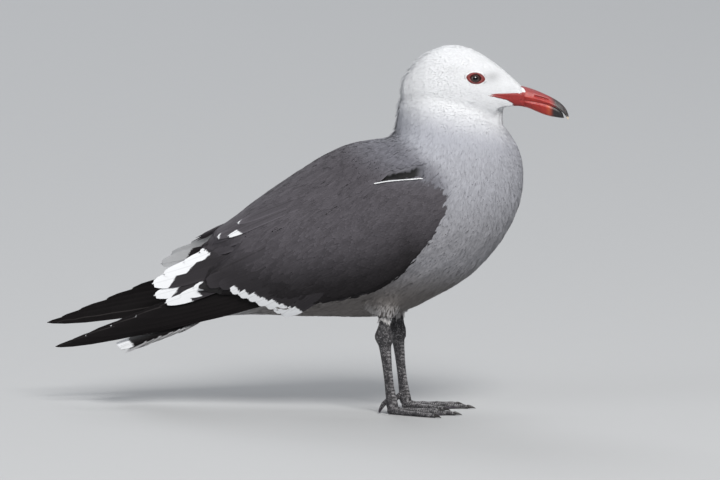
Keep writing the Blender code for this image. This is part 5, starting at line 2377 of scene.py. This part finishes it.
    def shaft_part(self) -> Mesh:
        """Loft the leg from inside the thigh down to the foot."""
        rings = []
        turns = np.linspace(0, math.tau, 28, endpoint=False)
        for x, z, along, across in curve(self.shaft, 60):
            spot = Vector((x + self.shift, self.spread, z))
            rings.append(self.ring(spot + Vector((along * math.cos(t), across * math.sin(t), 0)) for t in turns))
        return to_mesh(loft(rings), "shaft")

    def hind_part(self) -> Mesh:
        """Loft the short hind toe behind the heel."""
        rings = []
        turns = np.linspace(0, math.tau, 16, endpoint=False)
        for x, z, radius in curve(self.hind, 16):
            spot = Vector((x + self.shift, self.spread - 1.0, z))
            round_ways = (Vector((0.75 * math.cos(t), math.sin(t), -0.66 * math.cos(t))) for t in turns)
            rings.append(self.ring(spot + way * radius for way in round_ways))
        return to_mesh(loft(rings), "hind_toe")

    def toe_part(self, index: int) -> Mesh:
        """Loft one toe along the floor, with a swelling at each joint."""
        rings = []
        turns = np.linspace(0, math.tau, 24, endpoint=False)
        for s in np.linspace(-0.02, 1.0, 46):
            place, _, outward = self.toe(index, float(s))
            knuckle = sum(math.exp(-(((s - k) / 0.05) ** 2)) for k in (0.36, 0.64, 0.88))
            radius = self.toe_radius * (1.02 - 0.36 * s) * (1 + 0.10 * knuckle)
            high = radius * (1.0 + 0.85 * max(0.0, 1 - 4 * s) ** 1.5) * (1.0 if s < 0.97 else 0.8)
            ups = (Vector((0, 0, max(0.0, high + high * math.sin(t)))) for t in turns)
            rings.append(
                self.ring(place + outward * (radius * 0.96 * math.cos(t)) + up for t, up in zip(turns, ups))
            )
        return to_mesh(loft(rings), "toe")

    def web_part(self, index: int) -> Mesh:
        """Make the web between a toe and the next one, creased from root to edge."""
        bm = bmesh.new()
        bmesh.ops.create_grid(bm, x_segments=40, y_segments=22, size=1.0)
        for vertex in bm.verts:
            s, t = 0.06 + 0.91 * (vertex.co.x + 1) / 2, (vertex.co.y + 1) / 2
            first, ahead, _ = self.toe(index, s)
            second, along, _ = self.toe(index + 1, s)
            back = (ahead + along) * (0.5 * self.notch * s * 4 * t * (1 - t))
            crease = 0.22 * math.sin(t * 17.0 + 2.0 * math.sin(s * 5.0)) * smooth(np.array(s), 0.1, 0.5)
            rise = 1.15 + 0.35 * (1 - s) + float(crease) * 4 * t * (1 - t)
            vertex.co = self.placed(first.lerp(second, t) - back + Vector((0, 0, rise)))
        thicken(bm, (0.0, 0.0, 1.0), self.web_thickness)
        return to_mesh(bm, "web")

    def scales(self, mesh: Mesh) -> None:
        """Raise the scutes down the front of the leg and over the toes, and mark the webs."""
        rows = points_of(mesh)
        x, y, z = (rows / MM).T
        y = y * self.side.value
        line = np.array(self.shaft[::-1])
        centre = np.interp(z, line[:, 1], line[:, 0]) + self.shift
        front = smooth((x - centre) / 4.0, 0.15, 0.75) * smooth(z, 7.0, 10.0) * smooth(z, 53.0, 48.0)
        step = (z / self.scute) % 1.0
        near_toe, gap = np.zeros(len(rows)), np.full(len(rows), 99.0)
        for index in range(3):
            line = np.array([self.toe(index, s)[0] for s in np.linspace(0, 1, 60)])
            far = np.hypot(x[:, None] - line[None, :, 0], y[:, None] - line[None, :, 1])
            spot = far.argmin(1)
            closer = far.min(1) < gap
            gap = np.where(closer, far.min(1), gap)
            near_toe = np.where(closer, spot / 59.0 * self.toe_lengths[index], near_toe)
        on_toe = smooth(gap, 2.0, 1.2) * smooth(z, 9.0, 6.0) * smooth(z, 1.2, 2.2)
        toe_step = (near_toe / self.toe_scute) % 1.0
        lift = front * (ridge(step) - 0.6) * 0.30 + on_toe * (ridge(toe_step) - 0.6) * 0.22
        knob = np.sin(x * 2.1) * np.sin(y * 2.3 + 1.0) * np.sin(z * 1.9) * smooth(z, 7.0, 14.0) * 0.10
        moved = rows + normals_of(mesh) * ((lift + knob) * MM)[:, None]
        moved[:, 2] = np.maximum(moved[:, 2], 0.0)
        put_points(mesh, moved)
        keep(mesh, "scute", np.where(on_toe > front, ridge(toe_step), ridge(step)))
        keep(mesh, "crown", np.maximum(front, on_toe))
        keep(mesh, "web", smooth(gap, 2.0, 3.0) * smooth(z, 5.0, 3.0))

    def claws(self) -> None:
        """Make the three curved claws of the front toes as one piece."""
        bm = bmesh.new()
        turns = np.linspace(0, math.tau, 14, endpoint=False)
        for index in range(3):
            place, ahead, outward = self.toe(index, 1.0)
            rings = []
            for s in np.linspace(-0.25, 1.0, 14):
                t = max(float(s), 0.0)
                radius = self.claw_radius * (1 - 0.86 * t**1.1) * (0.85 if s < -0.1 else 1.0)
                middle = place + ahead * (self.claw_length * float(s)) + Vector((0, 0, 1.75 - 1.25 * t * t))
                ups = (Vector((0, 0, radius * math.sin(a))) for a in turns)
                rings.append(
                    self.ring(middle + outward * (radius * 0.8 * math.cos(a)) + up for a, up in zip(turns, ups))
                )
            bm.from_mesh(to_mesh(loft(rings), "claw"))
        mesh = to_mesh(bm, "claws")
        rows = points_of(mesh)
        rows[:, 2] = np.maximum(rows[:, 2], 0.05 * MM)
        put_points(mesh, rows)
        word = self.side.word
        piece = show(f"claws_{word}", mesh, ClawFinish(f"claw_horn_{word}").material())
        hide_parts(*(f"claw_{word}_{toe}" for toe in ("outer", "middle", "inner")))


# ---- the studio


def way_from(azimuth: float, elevation: float) -> Vector:
    """Return the way from the bird to what stands at these angles, in degrees."""
    a, e = math.radians(azimuth), math.radians(elevation)
    return Vector((math.sin(a) * math.cos(e), -math.cos(a) * math.cos(e), math.sin(e)))


def stand(thing: Object, spot: Vector, way: Vector) -> None:
    """Stand a camera or a lamp at a spot, looking back along a way."""
    thing.location = spot
    thing.rotation_mode = "QUATERNION"
    thing.rotation_quaternion = (-way).to_track_quat("-Z", "Y")
    bpy.context.scene.collection.objects.link(thing)


@dataclass
class Studio:
    """A pale floor, soft lamps and a camera level with the bird, ahead of its right side."""

    azimuth: float = 10.0
    elevation: float = 6.0
    frame_width: float = 0.5544  # width of the view at the bird, in metres
    aim: Pair = (0.0413, 0.1301)  # metres to the right of and above the origin, in the view
    lens: float = 900.0  # in mm
    sensor: float = 36.0
    clip: Pair = (0.5, 120.0)
    middle: tuple[float, float, float] = (0.03, 0.0, 0.15)  # where the lamps point, in metres
    floor_half: float = 14.0
    lamps: tuple[tuple, ...] = (  # name, azimuth, elevation, distance, size, power, tone
        ("key", 28.0, 42.0, 7.0, 2.6, 500.0, (1.0, 0.985, 0.96)),
        ("fill", -42.0, 24.0, 7.0, 4.0, 90.0, (0.95, 0.97, 1.0)),
        ("top", 180.0, 72.0, 6.0, 3.0, 85.0, (0.97, 0.98, 1.0)),
        ("back", 205.0, 32.0, 7.0, 3.0, 120.0, (0.95, 0.97, 1.0)),
    )
    sky: tuple[float, ...] = (0.80, 0.84, 0.90, 1.0)
    sky_strength: float = 0.27

    def build(self) -> None:
        """Set up camera, lamps, sky and floor."""
        scene = bpy.context.scene
        back = way_from(self.azimuth, self.elevation)
        right = Vector((math.cos(math.radians(self.azimuth)), math.sin(math.radians(self.azimuth)), 0))
        camera = bpy.data.cameras.new("camera")
        camera.lens, camera.sensor_width = self.lens, self.sensor
        camera.clip_start, camera.clip_end = self.clip
        distance = self.frame_width * self.lens / self.sensor
        eye = bpy.data.objects.new("camera", camera)
        stand(eye, right * self.aim[0] + back.cross(right) * self.aim[1] + back * distance, back)
        scene.camera = eye
        for lamp in self.lamps:
            self.hang(*lamp)
        world = bpy.data.worlds.new("sky")
        world.use_nodes = True
        inputs = world.node_tree.nodes["Background"].inputs
        inputs[0].default_value, inputs[1].default_value = self.sky, self.sky_strength
        scene.world = world
        scene.view_settings.view_transform = "Standard"
        self.floor()

    def hang(
        self, name: str, azimuth: float, elevation: float, far: float, size: float, power: float, tone: Colour
    ) -> None:
        """Hang one square soft lamp that faces the bird's middle.

        Args:
            name: Its name.
            azimuth: Its direction from the bird, in degrees.
            elevation: How high it hangs, in degrees.
            far: Its distance in metres.
            size: The length of its edge.
            power: Its power in watts.
            tone: Its colour.
        """
        light = bpy.data.lights.new(name, "AREA")
        light.size, light.energy, light.color = size, power, tone
        lamp = bpy.data.objects.new(name, light)
        lamp.visible_camera = False
        way = way_from(azimuth, elevation)
        stand(lamp, Vector(self.middle) + way * far, way)

    def floor(self) -> None:
        """Lay the floor far enough to fill the view."""
        bm = bmesh.new()
        bmesh.ops.create_grid(bm, x_segments=4, y_segments=4, size=self.floor_half)
        mesh = to_mesh(bm, "floor")
        floor = bpy.data.objects.new("floor", mesh)
        mesh.materials.append(FloorFinish("studio_floor").material())
        bpy.context.scene.collection.objects.link(floor)


def main() -> None:
    """Build the studio and the bird, piece by piece."""
    logging.basicConfig(level=logging.INFO, format="%(message)s", stream=sys.stdout)
    Studio().build()
    body = Body()
    body.build()
    coat = Coat(body)
    coat.build()
    for side in Side:
        Wing(body, coat, side).build()
        Eye(body, side).build()
        Leg(side).build(body.surface)
    Tail().build()
    Bill(body).build()


if __name__ == "__main__":
    main()
